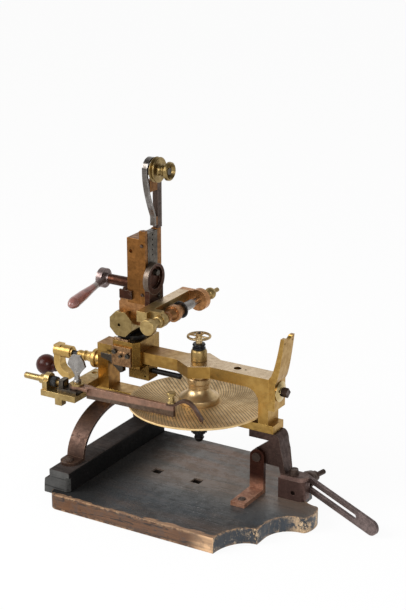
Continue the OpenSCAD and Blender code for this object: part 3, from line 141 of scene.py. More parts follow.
# The stage, in metres, with the photograph's camera
KEY_PLACE, KEY_SIZE = (-1.5, -1.6, 1.6), 1.4
FILL_PLACE, FILL_SIZE = (1.3, -1.9, 1.3), 1
LAMP_TARGET = (0, 0, 0.2)
CAMERA_PLACE, CAMERA_WAY = (1.1737, -1.9609, 1.1013), (-0.4827, 0.8113, -0.33)
CAMERA_LENS = 94.43
LEVEL_WAY = (-0.511, 0.859, 0)
FLOOR_RADII, FLOOR_STEPS, FLOOR_DROP = (0.0005, 0.5, 1, 2, 4, 6), 48, 0.3 * MM
FLOOR_WHITE = 0.93
WHITE = (1, 1, 1)


def colour_property(label, note, value):
    """A colour that a user may change."""
    return bpy.props.FloatVectorProperty(
        name=label, description=note, subtype="COLOR", size=3, min=0, max=1, default=value)


def length_property(label, note, value, low, high):
    """A length that a user may change, with its value and limits in millimetres."""
    return bpy.props.FloatProperty(
        name=label, description=note, subtype="DISTANCE", unit="LENGTH", precision=5,
        default=value * MM, min=low * MM, max=high * MM)


class EngineColours(bpy.types.PropertyGroup):
    brass: colour_property("Brass", "Bars, horn and carriage", (0.44, 0.272, 0.08))
    olive_brass: colour_property("Olive brass", "Knuckle, cutter frame and index stage", (0.48, 0.345, 0.145))
    bright_brass: colour_property("Bright brass", "Handwheel", (0.68, 0.5, 0.26))
    plate_brass: colour_property("Plate brass", "Dividing plate", (0.72, 0.52, 0.27))
    bronze: colour_property("Bronze", "Column, cheeks and spacers", (0.27, 0.117, 0.033))
    copper: colour_property("Copper", "Driving cone, column's foot and rear ear", (0.46, 0.225, 0.092))
    iron: colour_property("Iron", "Frame screws, stud, bolt and post", (0.092, 0.06, 0.046))
    coppery_iron: colour_property("Coppery iron", "Alidade and its spring", (0.3, 0.165, 0.11))
    link_iron: colour_property("Link iron", "Slotted link and lever", (0.205, 0.152, 0.142))
    steel: colour_property("Steel", "Slide strip, clamp and feed shaft", (0.115, 0.1, 0.082))
    bright_steel: colour_property("Bright steel", "Cutter arbor and thumbscrew", (0.36, 0.34, 0.32))
    black_steel: colour_property("Blackened steel", "Screws, arbor and pad", (0.016, 0.016, 0.016))
    paint: colour_property("Board paint", "Worn paint of the base board", (0.033, 0.041, 0.048))
    bare_wood: colour_property("Bare wood", "Wood under the worn paint", (0.19, 0.082, 0.032))
    red_wood: colour_property("Red wood", "Crank knob", (0.047, 0.008, 0.004))
    horn: colour_property("Handle", "Lever handle", (0.25, 0.096, 0.077))


class EngineSizes(bpy.types.PropertyGroup):
    edge_radius: length_property("Edge radius", "Rounding of the machined edges", 0.4, 0.05, 2)
    wood_radius: length_property("Wood edge radius", "Rounding of the board's edges", 2, 0.1, 6)
    lead_pitch: length_property("Lead screw pitch", "Distance between the lead screw's threads", 2, 1, 6)
    lead_starts: bpy.props.IntProperty(
        name="Lead screw starts", description="Threads that run side by side", default=2, min=1, max=4)
    hole_step: length_property("Hole step", "Distance from hole to hole along a circle", 5.7, 2.5, 12)
    hole_more: bpy.props.IntProperty(
        name="More holes", description="Holes that each circle has more than the one inside it",
        default=2, min=1, max=12)
    hole_start: bpy.props.FloatProperty(
        name="Index line", description="Angle at which every circle starts", subtype="ANGLE",
        default=math.radians(-44))
    hole_size: length_property("Hole size", "Diameter of the dividing holes", 1.9, 0.4, 3)


class EngineStage(bpy.types.PropertyGroup):
    key_power: bpy.props.FloatProperty(
        name="Key light", description="Power of the soft light at the front left", default=52, min=0)
    fill_power: bpy.props.FloatProperty(
        name="Fill light", description="Power of the soft light at the front right", default=20, min=0)
    sky_level: bpy.props.FloatProperty(
        name="Sky", description="Level of the even light from all round", default=0.75, min=0, max=2)
    floor_tone: bpy.props.FloatProperty(
        name="Floor tone", description="Lightness of the floor", subtype="FACTOR", default=0.9, min=0, max=1)


def chosen(name):
    """One of the scene's colours."""
    return tuple(getattr(bpy.context.scene.engine_colours, name))


def shaded(colour, factor, tint=WHITE):
    """A colour made darker or lighter, with a tint."""
    return tuple(min(1, c * factor * t) for c, t in zip(colour, tint))


def tone_of(name, tone):
    """A tone as three numbers: given so, or as a factor of a scene's colour, or as a factor and a tint."""
    if not isinstance(tone, tuple):
        return shaded(chosen(name), tone)
    return tone if len(tone) == 3 else shaded(chosen(name), *tone)


class Wiring:
    """Adds nodes to one shader tree, and sets or links their inputs."""

    def __init__(self, tree):
        self.tree = tree

    def add(self, kind, inputs=None, **settings):
        node = self.tree.nodes.new(kind)
        for key, value in settings.items():
            setattr(node, key, value)
        for key, value in (inputs or {}).items():
            self.feed(node.inputs[key], value)
        return node

    def feed(self, socket, value):
        """Links a socket, or sets its value. A colour gets full opacity."""
        if isinstance(value, bpy.types.NodeSocket):
            self.tree.links.new(value, socket)
        elif socket.type == "RGBA":
            socket.default_value = (*value, 1)
        else:
            socket.default_value = value

    def math(self, operation, a, b=0, clamp=False):
        return self.add("ShaderNodeMath", {0: a, 1: b}, operation=operation, use_clamp=clamp).outputs[0]

    def times(self, first, *others):
        """The product of two or more numbers."""
        for other in others:
            first = self.math("MULTIPLY", first, other)
        return first

    def rest(self, share):
        """What a share leaves of 1."""
        return self.math("SUBTRACT", 1, share)

    def vector(self, operation, *inputs):
        """The outputs of a vector operation, Vector and Value."""
        return self.add("ShaderNodeVectorMath", dict(enumerate(inputs)), operation=operation).outputs

    def dot(self, a, b):
        return self.vector("DOT_PRODUCT", a, b)["Value"]

    def xyz(self, vector):
        """A vector's three numbers, by the names X, Y and Z."""
        return self.add("ShaderNodeSeparateXYZ", {0: vector}).outputs

    def here(self):
        """The point on the surface, in object coordinates."""
        return self.add("ShaderNodeTexCoord").outputs["Object"]

    def mix(self, factor, a, b):
        """Colour a where factor is 0 and b where it is 1."""
        return self.add("ShaderNodeMix", {0: factor, 6: a, 7: b}, data_type="RGBA").outputs[2]

    def over(self, under, colour, *shares):
        """A colour laid over another one, as far as the product of the shares says."""
        return self.mix(self.times(*shares), under, colour)

    def blend(self, factor, a, b):
        """Number a where factor is 0 and b where it is 1."""
        return self.add("ShaderNodeMix", {0: factor, 2: a, 3: b}, data_type="FLOAT").outputs[0]

    def span(self, value, low, high, to_low=0, to_high=1):
        """A smooth step of value from low to high."""
        inputs = {0: value, 1: low, 2: high, 3: to_low, 4: to_high}
        return self.add("ShaderNodeMapRange", inputs, interpolation_type="SMOOTHSTEP").outputs[0]

    def noise(self, vector, scale, detail=4, roughness=0.6):
        inputs = {"Vector": vector, "Scale": scale, "Detail": detail, "Roughness": roughness}
        return self.add("ShaderNodeTexNoise", inputs).outputs[0]

    def stretched(self, vector, scale):
        """Coordinates scaled apart along X, Y and Z, so that a noise on them runs in streaks."""
        return self.add("ShaderNodeMapping", {"Vector": vector, "Scale": scale}).outputs[0]

    def group(self, name, **inputs):
        node = self.add("ShaderNodeGroup", node_tree=bpy.data.node_groups[name])
        for key, value in inputs.items():
            self.feed(node.inputs[key], value)
        return node.outputs


def new_group(name, inputs, outputs):
    """An empty shader node group with number inputs and outputs: (wiring, inputs, outputs node)."""
    tree = bpy.data.node_groups.new(name, "ShaderNodeTree")
    for label, value in inputs:
        socket = tree.interface.new_socket(name=label, in_out="INPUT", socket_type="NodeSocketFloat")
        socket.default_value = value
    for label in outputs:
        tree.interface.new_socket(name=label, in_out="OUTPUT", socket_type="NodeSocketFloat")
    wiring = Wiring(tree)
    return wiring, wiring.add("NodeGroupInput").outputs, wiring.add("NodeGroupOutput").inputs


def seeded(w, seed):
    """Object coordinates moved by a seed, so that each material has its own clouds."""
    move = w.add("ShaderNodeCombineXYZ", {0: seed, 1: w.times(seed, 0.71), 2: w.times(seed, 1.37)})
    return w.vector("ADD", w.here(), move.outputs[0])[0]


def make_patina_group():
    """Tarnish: broad clouds, mottling, fine grain, dark specks and long scratches."""
    w, given, out = new_group("Engine patina", [("Size", 25), ("Seed", 0)],
                              ["Clouds", "Mottle", "Grain", "Specks", "Scratches"])
    here, size = seeded(w, given["Seed"]), given["Size"]
    w.feed(out["Clouds"], w.span(w.noise(here, size, 5, 0.62), 0.36, 0.64))
    w.feed(out["Mottle"], w.span(w.noise(here, w.times(size, 5), 5, 0.68), 0.34, 0.68))
    w.feed(out["Grain"], w.noise(here, w.times(size, 45), 3, 0.7))
    cells = w.add("ShaderNodeTexVoronoi", {"Vector": here, "Scale": w.times(size, 9)})
    near = w.span(cells.outputs["Distance"], 0.06, 0.24, 1, 0)
    where = w.span(w.noise(here, w.times(size, 1.7), 3, 0.5), 0.5, 0.62)
    w.feed(out["Specks"], w.times(near, where))
    lines = w.noise(w.stretched(here, (0.06, 1, 1)), w.times(size, 30), 2, 0.5)
    w.feed(out["Scratches"], w.span(lines, 0.6, 0.72))


def make_edge_group():
    """Wear along edges: how far the rounded normal leans from the plain one, broken up by noise."""
    w, given, out = new_group(
        "Engine edge wear", [("Radius", 0.001), ("Gain", 3), ("Seed", 0)], ["Mask"])
    here = seeded(w, given["Seed"])
    rounded = w.add("ShaderNodeBevel", {"Radius": given["Radius"]}, samples=4).outputs[0]
    lean = w.dot(rounded, w.add("ShaderNodeNewGeometry").outputs["Normal"])
    broken = w.span(w.noise(here, 90), 0.32, 0.6, 0.35, 1)
    w.feed(out["Mask"], w.math("MULTIPLY", w.times(w.rest(lean), given["Gain"]), broken, clamp=True))


def make_grain_group():
    """Wood: streaks along X, fine pores and broad bands."""
    w, given, out = new_group(
        "Engine wood grain", [("Size", 60), ("Seed", 0)], ["Streaks", "Pores", "Bands"])
    here, size = seeded(w, given["Seed"]), given["Size"]
    streaks = w.noise(w.stretched(here, (0.05, 1, 1)), size, 5, 0.6)
    pores = w.noise(w.stretched(here, (0.03, 1, 1)), w.times(size, 6), 3, 0.6)
    bands = w.noise(w.stretched(here, (0.25, 1, 1)), w.times(size, 0.22))
    w.feed(out["Streaks"], w.span(streaks, 0.36, 0.64))
    w.feed(out["Pores"], w.span(pores, 0.54, 0.68))
    w.feed(out["Bands"], w.span(bands, 0.4, 0.6))


def emptied(holder):
    """Wiring for the emptied node tree of a material or a world."""
    holder.use_nodes = True
    holder.node_tree.nodes.clear()
    return Wiring(holder.node_tree)


def new_material(name):
    """A material with an output and one Principled shader: (material, wiring, shader)."""
    material = bpy.data.materials.new(name)
    w = emptied(material)
    shader = w.add("ShaderNodeBsdfPrincipled")
    w.add("ShaderNodeOutputMaterial", {"Surface": shader.outputs[0]})
    return material, w, shader


def surface(w, shader, tone, rough, height, strength, depth):
    """Feeds a colour, a roughness and a height, as a bump of some strength and depth, to a shader."""
    bump = w.add("ShaderNodeBump", {"Height": height, "Strength": strength, "Distance": depth})
    w.feed(shader.inputs["Base Color"], tone)
    w.feed(shader.inputs["Roughness"], rough)
    w.feed(shader.inputs["Normal"], bump.outputs[0])


@dataclass
class Look:
    """What one metal finish is made of. tones has its base, shade, grime and shine, as tone_of takes them."""

    colour: str
    tones: tuple
    rough: tuple
    size: float
    wear: float = 2.5
    specks: float = 0.7
    mottle: float = 0.5
    clouds: float = 1
    relief: float = 0.1
    metallic: float = 1


def metal_layers(w, look, seed):
    """A metal's colour, roughness and height: clouds of tarnish, mottling, specks, bright worn edges."""
    base, shade, grime, shine = (tone_of(look.colour, tone) for tone in look.tones)
    patina = w.group("Engine patina", Size=look.size, Seed=seed)
    edge = w.group("Engine edge wear", Radius=1.1 * MM, Gain=look.wear, Seed=seed)
    tone = w.over(base, shade, patina["Clouds"], look.clouds)
    tone = w.over(tone, grime, patina["Mottle"], look.mottle)
    tone = w.over(tone, shaded(grime, 0.45), patina["Specks"], look.specks)
    tone = w.over(tone, shine, patina["Scratches"], 0.18)
    tone = w.mix(edge["Mask"], tone, shine)
    rough = w.span(patina["Mottle"], 0, 1, *look.rough)
    rough = w.math("ADD", rough, w.times(patina["Specks"], 0.2), clamp=True)
    height = w.math("ADD", w.times(patina["Grain"], 0.6), w.times(patina["Mottle"], 0.8))
    return tone, rough, height


def metal_material(name, seed, finish, *layers):
    """A finish as a material. Each layer is a pair of another finish and the mask of where it lies on top."""
    material, w, shader = new_material(name)
    look = LOOKS[finish]
    tone, rough, height = metal_layers(w, look, seed)
    metallic = look.metallic
    for i, (other, mask) in enumerate(layers, 1):
        share, over = mask(w), LOOKS[other]
        over_tone, over_rough, _ = metal_layers(w, over, seed + 3 * i)
        tone = w.mix(share, tone, over_tone)
        rough = w.blend(share, rough, over_rough)
        if metallic != over.metallic:
            metallic = w.blend(share, metallic, over.metallic)
    w.feed(shader.inputs["Metallic"], metallic)
    surface(w, shader, tone, rough, height, look.relief, 0.3 * MM)
    return material


def beyond(direction, place, soft=0.05 * MM):
    """A mask that is 1 past a plane: where the dot product of the point and the direction is over place."""
    return lambda w: w.span(w.dot(w.here(), direction), place - soft, place + soft)


def all_of(*masks):
    """A mask that is 1 where all the masks are."""
    return lambda w: w.times(*[mask(w) for mask in masks])


def wall(across, middle, radius):
    """A mask that is 1 on a cylinder's wall, a millimetre thick. across is 0 along the axis and 1 beside it."""
    def mask(w):
        flat = w.vector("MULTIPLY", w.vector("SUBTRACT", w.here(), middle)[0], across)[0]
        away = w.vector("LENGTH", flat)["Value"]
        return w.times(w.span(away, radius - 0.9 * MM, radius - 0.4 * MM),
                       w.span(away, radius + 0.3 * MM, radius + 0.5 * MM, 1, 0))
    return mask


# The metal finishes by name. A look whose tones all have three numbers names no colour
LOOKS = {
    "gold_brass": Look("brass", (1, (0.72, WARM), (0.5, BROWN), 1.5),
        (0.28, 0.46), 18, specks=0.4, mottle=0.35, clouds=0.6),
    "warm_brass": Look("", ((0.58, 0.385, 0.135), (0.46, 0.29, 0.09), (0.26, 0.15, 0.04), (0.8, 0.6, 0.3)),
        (0.36, 0.5), 25, specks=0.4, mottle=0.3, clouds=0.7),
    # A darker brass: partly the metal's own tone, partly painted shade on the saddle's front
    "deep_brass": Look("brass", (0.66, (0.45, WARM), (0.28, BROWN), 1.3),
        (0.22, 0.36), 22, specks=0.5, mottle=0.4, clouds=0.7),
    "brown_brass": Look("brass", ((0.72, BROWN), (0.52, BROWN), (0.28, BROWN), 1.2),
        (0.3, 0.5), 18, specks=0.5, mottle=0.4, clouds=0.8),
    "olive_brass": Look("olive_brass", (1, 0.7, (0.4, BROWN), 1.6),
        (0.36, 0.52), 30, specks=0.5, mottle=0.4, clouds=0.7),
    "dull_brass": Look("olive_brass", (0.66, 0.46, (0.26, BROWN), 1.2),
        (0.28, 0.44), 30, specks=0.5, mottle=0.4, clouds=0.8),
    # A paler brass with lower roughness: a painted reflection on top faces
    "painted_reflection_brass": Look("", ((0.64, 0.49, 0.32), (0.46, 0.33, 0.18), (0.24, 0.15, 0.07), (0.85, 0.72, 0.52)),
        (0.24, 0.38), 30, specks=0.3, mottle=0.2, clouds=0.5),
    "bright_brass": Look("bright_brass", (1, 0.78, (0.45, WARM), 1.35),
        (0.38, 0.5), 25, specks=0.4, mottle=0.3, clouds=0.6),
    "hub_brass": Look("", ((0.66, 0.475, 0.25), (0.52, 0.37, 0.18), (0.28, 0.18, 0.075), (0.85, 0.66, 0.4)),
        (0.36, 0.48), 25, specks=0.4, mottle=0.35, clouds=0.7),
    "collar_brass": Look("", ((0.46, 0.32, 0.13), (0.36, 0.245, 0.09), (0.2, 0.12, 0.04), (0.75, 0.58, 0.32)),
        (0.42, 0.56), 25, wear=3.5, specks=0.4, mottle=0.35, clouds=0.6),
    "washer_brass": Look("", ((0.6, 0.45, 0.21), (0.46, 0.34, 0.15), (0.24, 0.16, 0.06), (0.9, 0.74, 0.45)),
        (0.14, 0.26), 25, specks=0.5, mottle=0.35, clouds=0.8),
    "plate_brass": Look("plate_brass", (1, 0.8, (0.5, WARM), 1.5), (0.52, 0.66), 14, mottle=0.3),
    # A brighter brass for the plate's rim wall: a painted highlight
    "rim_highlight_brass": Look("", ((0.86, 0.62, 0.3), (0.66, 0.45, 0.19), (0.4, 0.25, 0.09), (0.95, 0.75, 0.45)),
        (0.34, 0.5), 14, mottle=0.35, metallic=0.35),
    # Dark dull holes: painted shade inside the drilled holes
    "drilled_holes": Look("plate_brass", ((0.21, (1, 0.85, 0.65)), 0.14, 0.09, 0.4),
        (0.6, 0.75), 25, wear=0, metallic=0),
    "bronze": Look("bronze", (1, 0.66, 0.35, 1.9), (0.34, 0.54), 32),
    "copper": Look("copper", (1, 0.66, 0.36, 1.7), (0.32, 0.5), 36),
    "disc_copper": Look("copper", (1.4, 0.95, 0.5, 1.9), (0.34, 0.5), 36),
    "clamp_copper": Look("", ((0.34, 0.195, 0.095), (0.23, 0.125, 0.06), (0.11, 0.06, 0.03), (0.6, 0.42, 0.26)),
        (0.26, 0.46), 44, wear=3.2, mottle=0.65),
    "iron": Look("iron", (1, 0.72, 0.4, 2.4), (0.36, 0.58), 30, mottle=0.6, relief=0.22, metallic=0.75),
    "strap_iron": Look("", ((0.11, 0.06, 0.041), (0.08, 0.045, 0.032), (0.045, 0.026, 0.02), (0.32, 0.22, 0.16)),
        (0.44, 0.6), 26, relief=0.2, metallic=0.8),
    "foot_iron": Look("", ((0.15, 0.088, 0.073), (0.11, 0.062, 0.052), (0.06, 0.033, 0.028), (0.26, 0.17, 0.13)),
        (0.42, 0.62), 30, relief=0.25, metallic=0.85),
    "flange_iron": Look("", ((0.27, 0.17, 0.142), (0.2, 0.124, 0.104), (0.11, 0.066, 0.055), (0.45, 0.32, 0.27)),
        (0.42, 0.6), 30, metallic=0.75),
    "brown_iron": Look("", ((0.07, 0.024, 0.015), (0.05, 0.017, 0.011), (0.03, 0.011, 0.008), (0.22, 0.1, 0.06)),
        (0.46, 0.66), 34, relief=0.25, metallic=0.9),
    "leg_iron": Look("", ((0.088, 0.05, 0.04), (0.064, 0.037, 0.03), (0.036, 0.02, 0.016), (0.22, 0.15, 0.11)),
        (0.4, 0.6), 30, mottle=0.6, relief=0.22, metallic=0.75),
    "lever_iron": Look("link_iron", (1.32, 0.92, 0.46, 2.5), (0.3, 0.5), 32, relief=0.2, metallic=0.8),
    "spring_iron": Look("coppery_iron", (0.36, 0.27, 0.16, 0.9), (0.34, 0.52), 36, relief=0.2, metallic=0.75),
    "rusty_iron": Look("", ((0.46, 0.25, 0.165), (0.33, 0.15, 0.088), (0.12, 0.05, 0.03), (0.6, 0.36, 0.22)),
        (0.44, 0.66), 34, mottle=0.55, relief=0.3, metallic=0.5),
    "dark_iron": Look("", ((0.075, 0.026, 0.013), (0.048, 0.017, 0.009), (0.026, 0.01, 0.006), (0.34, 0.27, 0.21)),
        (0.34, 0.54), 34, wear=3.2, relief=0.2, metallic=0.9),
    # A brighter iron for the eye's rim wall: a painted highlight
    "rim_highlight_iron": Look("", ((0.19, 0.148, 0.116), (0.13, 0.098, 0.072), (0.08, 0.048, 0.032), (0.45, 0.4, 0.35)),
        (0.42, 0.56), 40, relief=0.2, metallic=0.85),
    # A darker iron for the alidade's lower part: painted shade on its underside
    "shaded_underside_iron": Look(
        "", ((0.135, 0.092, 0.064), (0.092, 0.062, 0.045), (0.05, 0.032, 0.024), (0.26, 0.15, 0.1)),
        (0.4, 0.6), 36, metallic=0.8),
    "coppery_iron": Look("coppery_iron", (1, (0.74, (1, 1.05, 1.1)), 0.4, 1.7),
        (0.36, 0.54), 30, mottle=0.35, relief=0.2, metallic=0.7),
    "link_iron": Look("link_iron", (1, 0.66, 0.3, 2.6), (0.38, 0.6), 36, mottle=0.6, relief=0.25, metallic=0.75),
    "steel": Look("steel", (1, 0.66, (0.34, (1, 0.9, 0.8)), 2), (0.3, 0.5), 38),
    "bright_steel": Look("bright_steel", (1, 0.72, (0.4, (1, 0.92, 0.84)), 1.5), (0.24, 0.42), 38, mottle=0.4),
    "polished_steel": Look("", ((0.24, 0.225, 0.21), (0.14, 0.125, 0.11), (0.06, 0.05, 0.042), (0.7, 0.68, 0.66)),
        (0.16, 0.32), 30),
    "black_steel": Look("black_steel", (1, 0.6, (0.5, (1.2, 0.9, 0.8)), (0.16, 0.15, 0.14)),
        (0.3, 0.5), 40, wear=1.6, metallic=0.6),
    "lead_steel": Look("black_steel", (1, 0.6, 0.5, (0.1, 0.1, 0.095)), (0.36, 0.55), 40, wear=0.3, metallic=0.4),
}

BRASS_NODES = {
    "gold_brass": ("lower_bar", "horn"),
    "collar_brass": ("work_collar",),
    # The saddle's darker brass is partly painted shade
    "deep_brass": ("saddle", "nut_block"),
    "brown_brass": ("left_pillar",),
    "olive_brass": ("spindle_centres", "index_stage", "index_carrier", "lift_knob", "micrometer_screw"),
    "dull_brass": ("tilt_knuckle", "trunnion_bracket", "guide_pulley"),
    "hub_brass": ("plate_hub",),
    "bright_brass": ("handwheel",),
    "warm_brass": ("crank_arm", "thrust_collar"),
}
BRONZE_NODES = {
    "bronze": ("column", "column_cheeks", "spacer_blocks"),
    "copper": ("spindle_cone", "column_base"),
    "clamp_copper": ("clamp_plate",),
}
IRON_NODES = {
    "iron": ("link_stud", "pulley_post", "frame_screws"),
    "strap_iron": ("arch_strap",),
    "dark_iron": ("feed_bearing", "head_screws"),
    "foot_iron": ("foot_block",),
    "spring_iron": ("index_spring",),
    "lever_iron": ("lever_arm",),
    "link_iron": ("slotted_link",),
}
STEEL_NODES = {
    "bright_steel": ("cutter_arbor",),
    "polished_steel": ("pulley_bow",),
    "steel": ("slide_strip", "clamp_lever", "clamp_screws", "feed_shaft", "index_slide", "pulley_stud"),
    "black_steel": ("pivot_screw", "arbor", "swivel_pad", "cutter"),
    "lead_steel": ("lead_screw",),
}


def paint_node(name, material):
    """Puts a material on a CAD node in place of its plain one."""
    data = frame["nodes"][name].data
    data.materials.clear()
    data.materials.append(material)


def dress(table, first_seed):
    """Gives each node of a table its finish, one material for each finish."""
    for i, (finish, nodes) in enumerate(table.items()):
        material = metal_material(finish, first_seed + 1.7 * i, finish)
        for name in nodes:
            paint_node(name, material)


def grid_faces(rows, columns):
    """Quads of a grid of rows times columns, closed along the columns."""
    i, j = np.meshgrid(np.arange(rows - 1), np.arange(columns), indexing="ij")
    k = (j + 1) % columns
    quads = [i * columns + j, i * columns + k, (i + 1) * columns + k, (i + 1) * columns + j]
    return np.stack(quads, axis=-1).reshape(-1, 4)


def angles(steps):
    """Evenly spaced angles of one turn, as a row."""
    return np.linspace(0, TURN, steps, endpoint=False)[None, :]


def stacked(x, y, z):
    """Points from arrays of their three coordinates."""
    return np.stack(np.broadcast_arrays(x, y, z), axis=-1)


def add_mesh(name, points, faces, material, smooth=True):
    """An object made from an array of points and a list of faces."""
    mesh = bpy.data.meshes.new(name)
    mesh.from_pydata(points.reshape(-1, 3).tolist(), [], faces)
    mesh.polygons.foreach_set("use_smooth", np.full(len(mesh.polygons), smooth))
    mesh.materials.append(material)
    mesh.update()
    item = bpy.data.objects.new(name, mesh)
    bpy.context.scene.collection.objects.link(item)
    return item


def put_mesh(name, points, faces, material, body, slot, smooth=True):
    """A mesh as a piece that rides on a body."""
    piece = add_mesh(name, points, faces, material, smooth)
    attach(piece, body)
    return piece


def round_x(start, s, r, t):
    """Points about an axis along X: distance s from the start, radius r, and angle t from Y towards Z."""
    x, y, z = start
    return stacked(x + s, y + r * np.cos(t), z + r * np.sin(t))


def threaded_rod(start, length, radius, pitch, starts, depth, thread, steps=40):
    """A closed rod along X with a left-handed thread of some starts, so that a turn is pitch times starts. At
    distance s and angle t the radius is radius - depth * ramp(s / pitch + starts * t / 2 pi), where ramp is a
    triangle wave from 0 to 1, inside the threaded share of the length, and radius outside it. The thread fades
    out at both ends, and the rod's last row is drawn in."""
    rows_a_pitch, steepness, draw_in = 8, 80, 0.25 * depth
    rows = int(length / pitch * rows_a_pitch) + 2
    s = np.linspace(0, length, rows)[:, None]
    t = angles(steps)
    wave = np.abs(2 * ((s / pitch + starts * t / TURN) % 1) - 1)
    share = s / length
    inside = np.clip((share - thread[0]) * steepness, 0, 1) * np.clip((thread[1] - share) * steepness, 0, 1)
    r = radius - depth * wave * inside - draw_in * (share > 0.999)
    points = round_x(start, s, r, t).reshape(-1, 3)
    ring = np.arange(steps)
    after, top, low = (ring + 1) % steps, (rows - 1) * steps, np.full(steps, len(points))
    caps = np.concatenate([np.stack([low, after, ring], axis=-1),
                           np.stack([low + 1, top + ring, top + after], axis=-1)])
    ends = np.add(start, [(0, 0, 0), (length, 0, 0)])
    return np.concatenate([points, ends]), grid_faces(rows, steps).tolist() + caps.tolist()


def hole_field(step, more, size, inner, outer, start, height):
    """Circles of drilled dimples. A circle of n holes has the radius n * step / 2 pi, and a few holes more than
    the one inside it. Hole j of a circle stands at the angle start + 2 pi j / n. Each hole is a closed
    eight-sided disc, dished, with a low raised burr."""
    sides = 8
    counts = np.arange(math.ceil(TURN * inner / step), math.floor(TURN * outer / step) + 1, more)
    circle = np.repeat(counts, counts)
    first = np.repeat(np.cumsum(counts) - counts, counts)
    angle = start + TURN * (np.arange(len(circle)) - first) / circle
    r = circle * step / TURN
    turn = TURN * np.arange(sides) / sides
    turns = np.concatenate([[0], turn, turn, [0]])
    rings = [1, sides, sides, 1]
    radii = np.repeat([0, 0.42, 0.5, 0], rings) * size
    lift = np.repeat([0, 0.03, -0.03, -0.05], rings) * MM
    points = stacked((r * np.cos(angle))[:, None] + radii * np.cos(turns),
                     (r * np.sin(angle))[:, None] + radii * np.sin(turns), height + 0.02 * MM + lift)
    k = 1 + np.arange(sides)
    n = 1 + k % sides
    middle, below = np.zeros(sides, int), np.full(sides, 1 + 2 * sides)
    corners = [(middle, k, n), (k, sides + k, sides + n), (k, sides + n, n), (below, sides + n, sides + k)]
    one = np.concatenate([np.stack(corner, axis=-1) for corner in corners])
    faces = one[None] + (2 + 2 * sides) * np.arange(len(r))[:, None, None]
    return points, faces.reshape(-1, 3).tolist()


def turned_ring(profile, steps=96):
    """A closed turned ring about Z. A point (r, z) of the profile at angle t is (r cos t, r sin t, z). The
    profile runs up the outside, and its last point joins its first one inside."""
    t = angles(steps)
    r, z = profile[:, 0, None], profile[:, 1, None]
    faces = grid_faces(len(r) + 1, steps) % (len(r) * steps)
    return stacked(r * np.cos(t), r * np.sin(t), z), faces.tolist()


def hub_profile():
    """The hub's outline: an upright rim, a flare, a neck with three fine grooves, a bead and a thinner end.
    Along the flare, s from 0 to 1, r runs evenly from the rim to the neck, and z rises evenly and by the sixth
    power of s, so that it turns up close to the neck. Heights are in millimetres above the hub's base."""
    base, top, rim = HUB_LOW.z, HUB_HIGH.z, HUB_HIGH.x
    neck, bead, bore, end = 0.53 * rim, 0.585 * rim, 0.26 * rim, 0.46 * rim
    flare_start, flare_rise, flare_upturn = 9.4, 8.6, 4
    groove_heights, bead_top = (24.2, 26.8, 29.4), 40.4
    rim_steps = np.array([(-0.8, 0), (0, 0.8), (0, 7.6), (-0.5, 8.8)]) * MM
    groove_steps = np.array([(0, -0.5), (-0.6, -0.2), (-0.6, 0.2), (0, 0.5)]) * MM
    bead_steps = np.array([(-0.9, 30.6), (0, 31.8), (0, 38.6), (-1.2, 40.2)]) * MM
    s = np.linspace(0, 1, 15)
    flare_r = (rim - 1.6 * MM) * (1 - s) + neck * s
    flare_z = base + (flare_start + flare_rise * s + flare_upturn * s ** 6) * MM
    return np.concatenate([
        [(bore, base)], rim_steps + (rim, base), np.stack([flare_r, flare_z], axis=-1),
        *[groove_steps + (neck, base + height * MM) for height in groove_heights],
        bead_steps + (bead, base), [(end, base + bead_top * MM), (end, top), (bore, top)]])


def fluted_ring(start, length, radius, flutes, depth):
    """A closed knurled ring along X. At angle t its radius is radius - depth * |sin(flutes t / 2)|. It is drawn
    in at both ends, and a bore's wall joins the ends inside."""
    steps = flutes * 6
    s = np.array([0, 0, 0.08, 0.92, 1, 1])[:, None] * length
    pull = np.array([0.55, 0.93, 1, 1, 0.93, 0.55])[:, None]
    t = angles(steps)
    r = (radius - depth * np.abs(np.sin(flutes * t / 2))) * pull
    faces = grid_faces(len(s) + 1, steps) % (len(s) * steps)
    return round_x(start, s, r, t), faces.tolist()


def standing_edges(w, radius):
    """A mask close to upright edges: how far the rounded normal, laid level, turns away from the plain one."""
    rounded = w.add("ShaderNodeBevel", {"Radius": radius}, samples=6).outputs[0]
    level = w.vector("NORMALIZE", w.vector("MULTIPLY", rounded, (1, 1, 0))[0])[0]
    lean = w.dot(level, w.add("ShaderNodeNewGeometry").outputs["Normal"])
    return w.span(lean, 0.9995, 0.985)


def board_paint(w, place, grain, patina):
    """The paint of the board's top: clouded, lighter towards the rear with dust and a painted sheen, rubbed brown
    towards the rear, with pores and specks.
    """
    paint = chosen("paint")
    tone = w.mix(patina["Clouds"], paint, shaded(paint, 0.5))
    # Dust and painted sheen: a pale grey-brown laid over the paint towards the rear
    tone = w.mix(w.span(place["Y"], *DUST_AND_SHEEN_BAND, 0, 0.55), tone, DUST_AND_SHEEN)
    rear = w.span(place["Y"], *RUBBED_BAND, 0.25, 1)
    rubbed = w.times(grain["Bands"], rear, w.span(grain["Streaks"], 0.1, 0.7, 0.5, 1))
    tone = w.over(tone, RUBBED, rubbed, 0.8)
    tone = w.over(tone, shaded(paint, 0.35), grain["Pores"], 0.5)
    return w.over(tone, PALE_SPECK, patina["Specks"], 0.5)


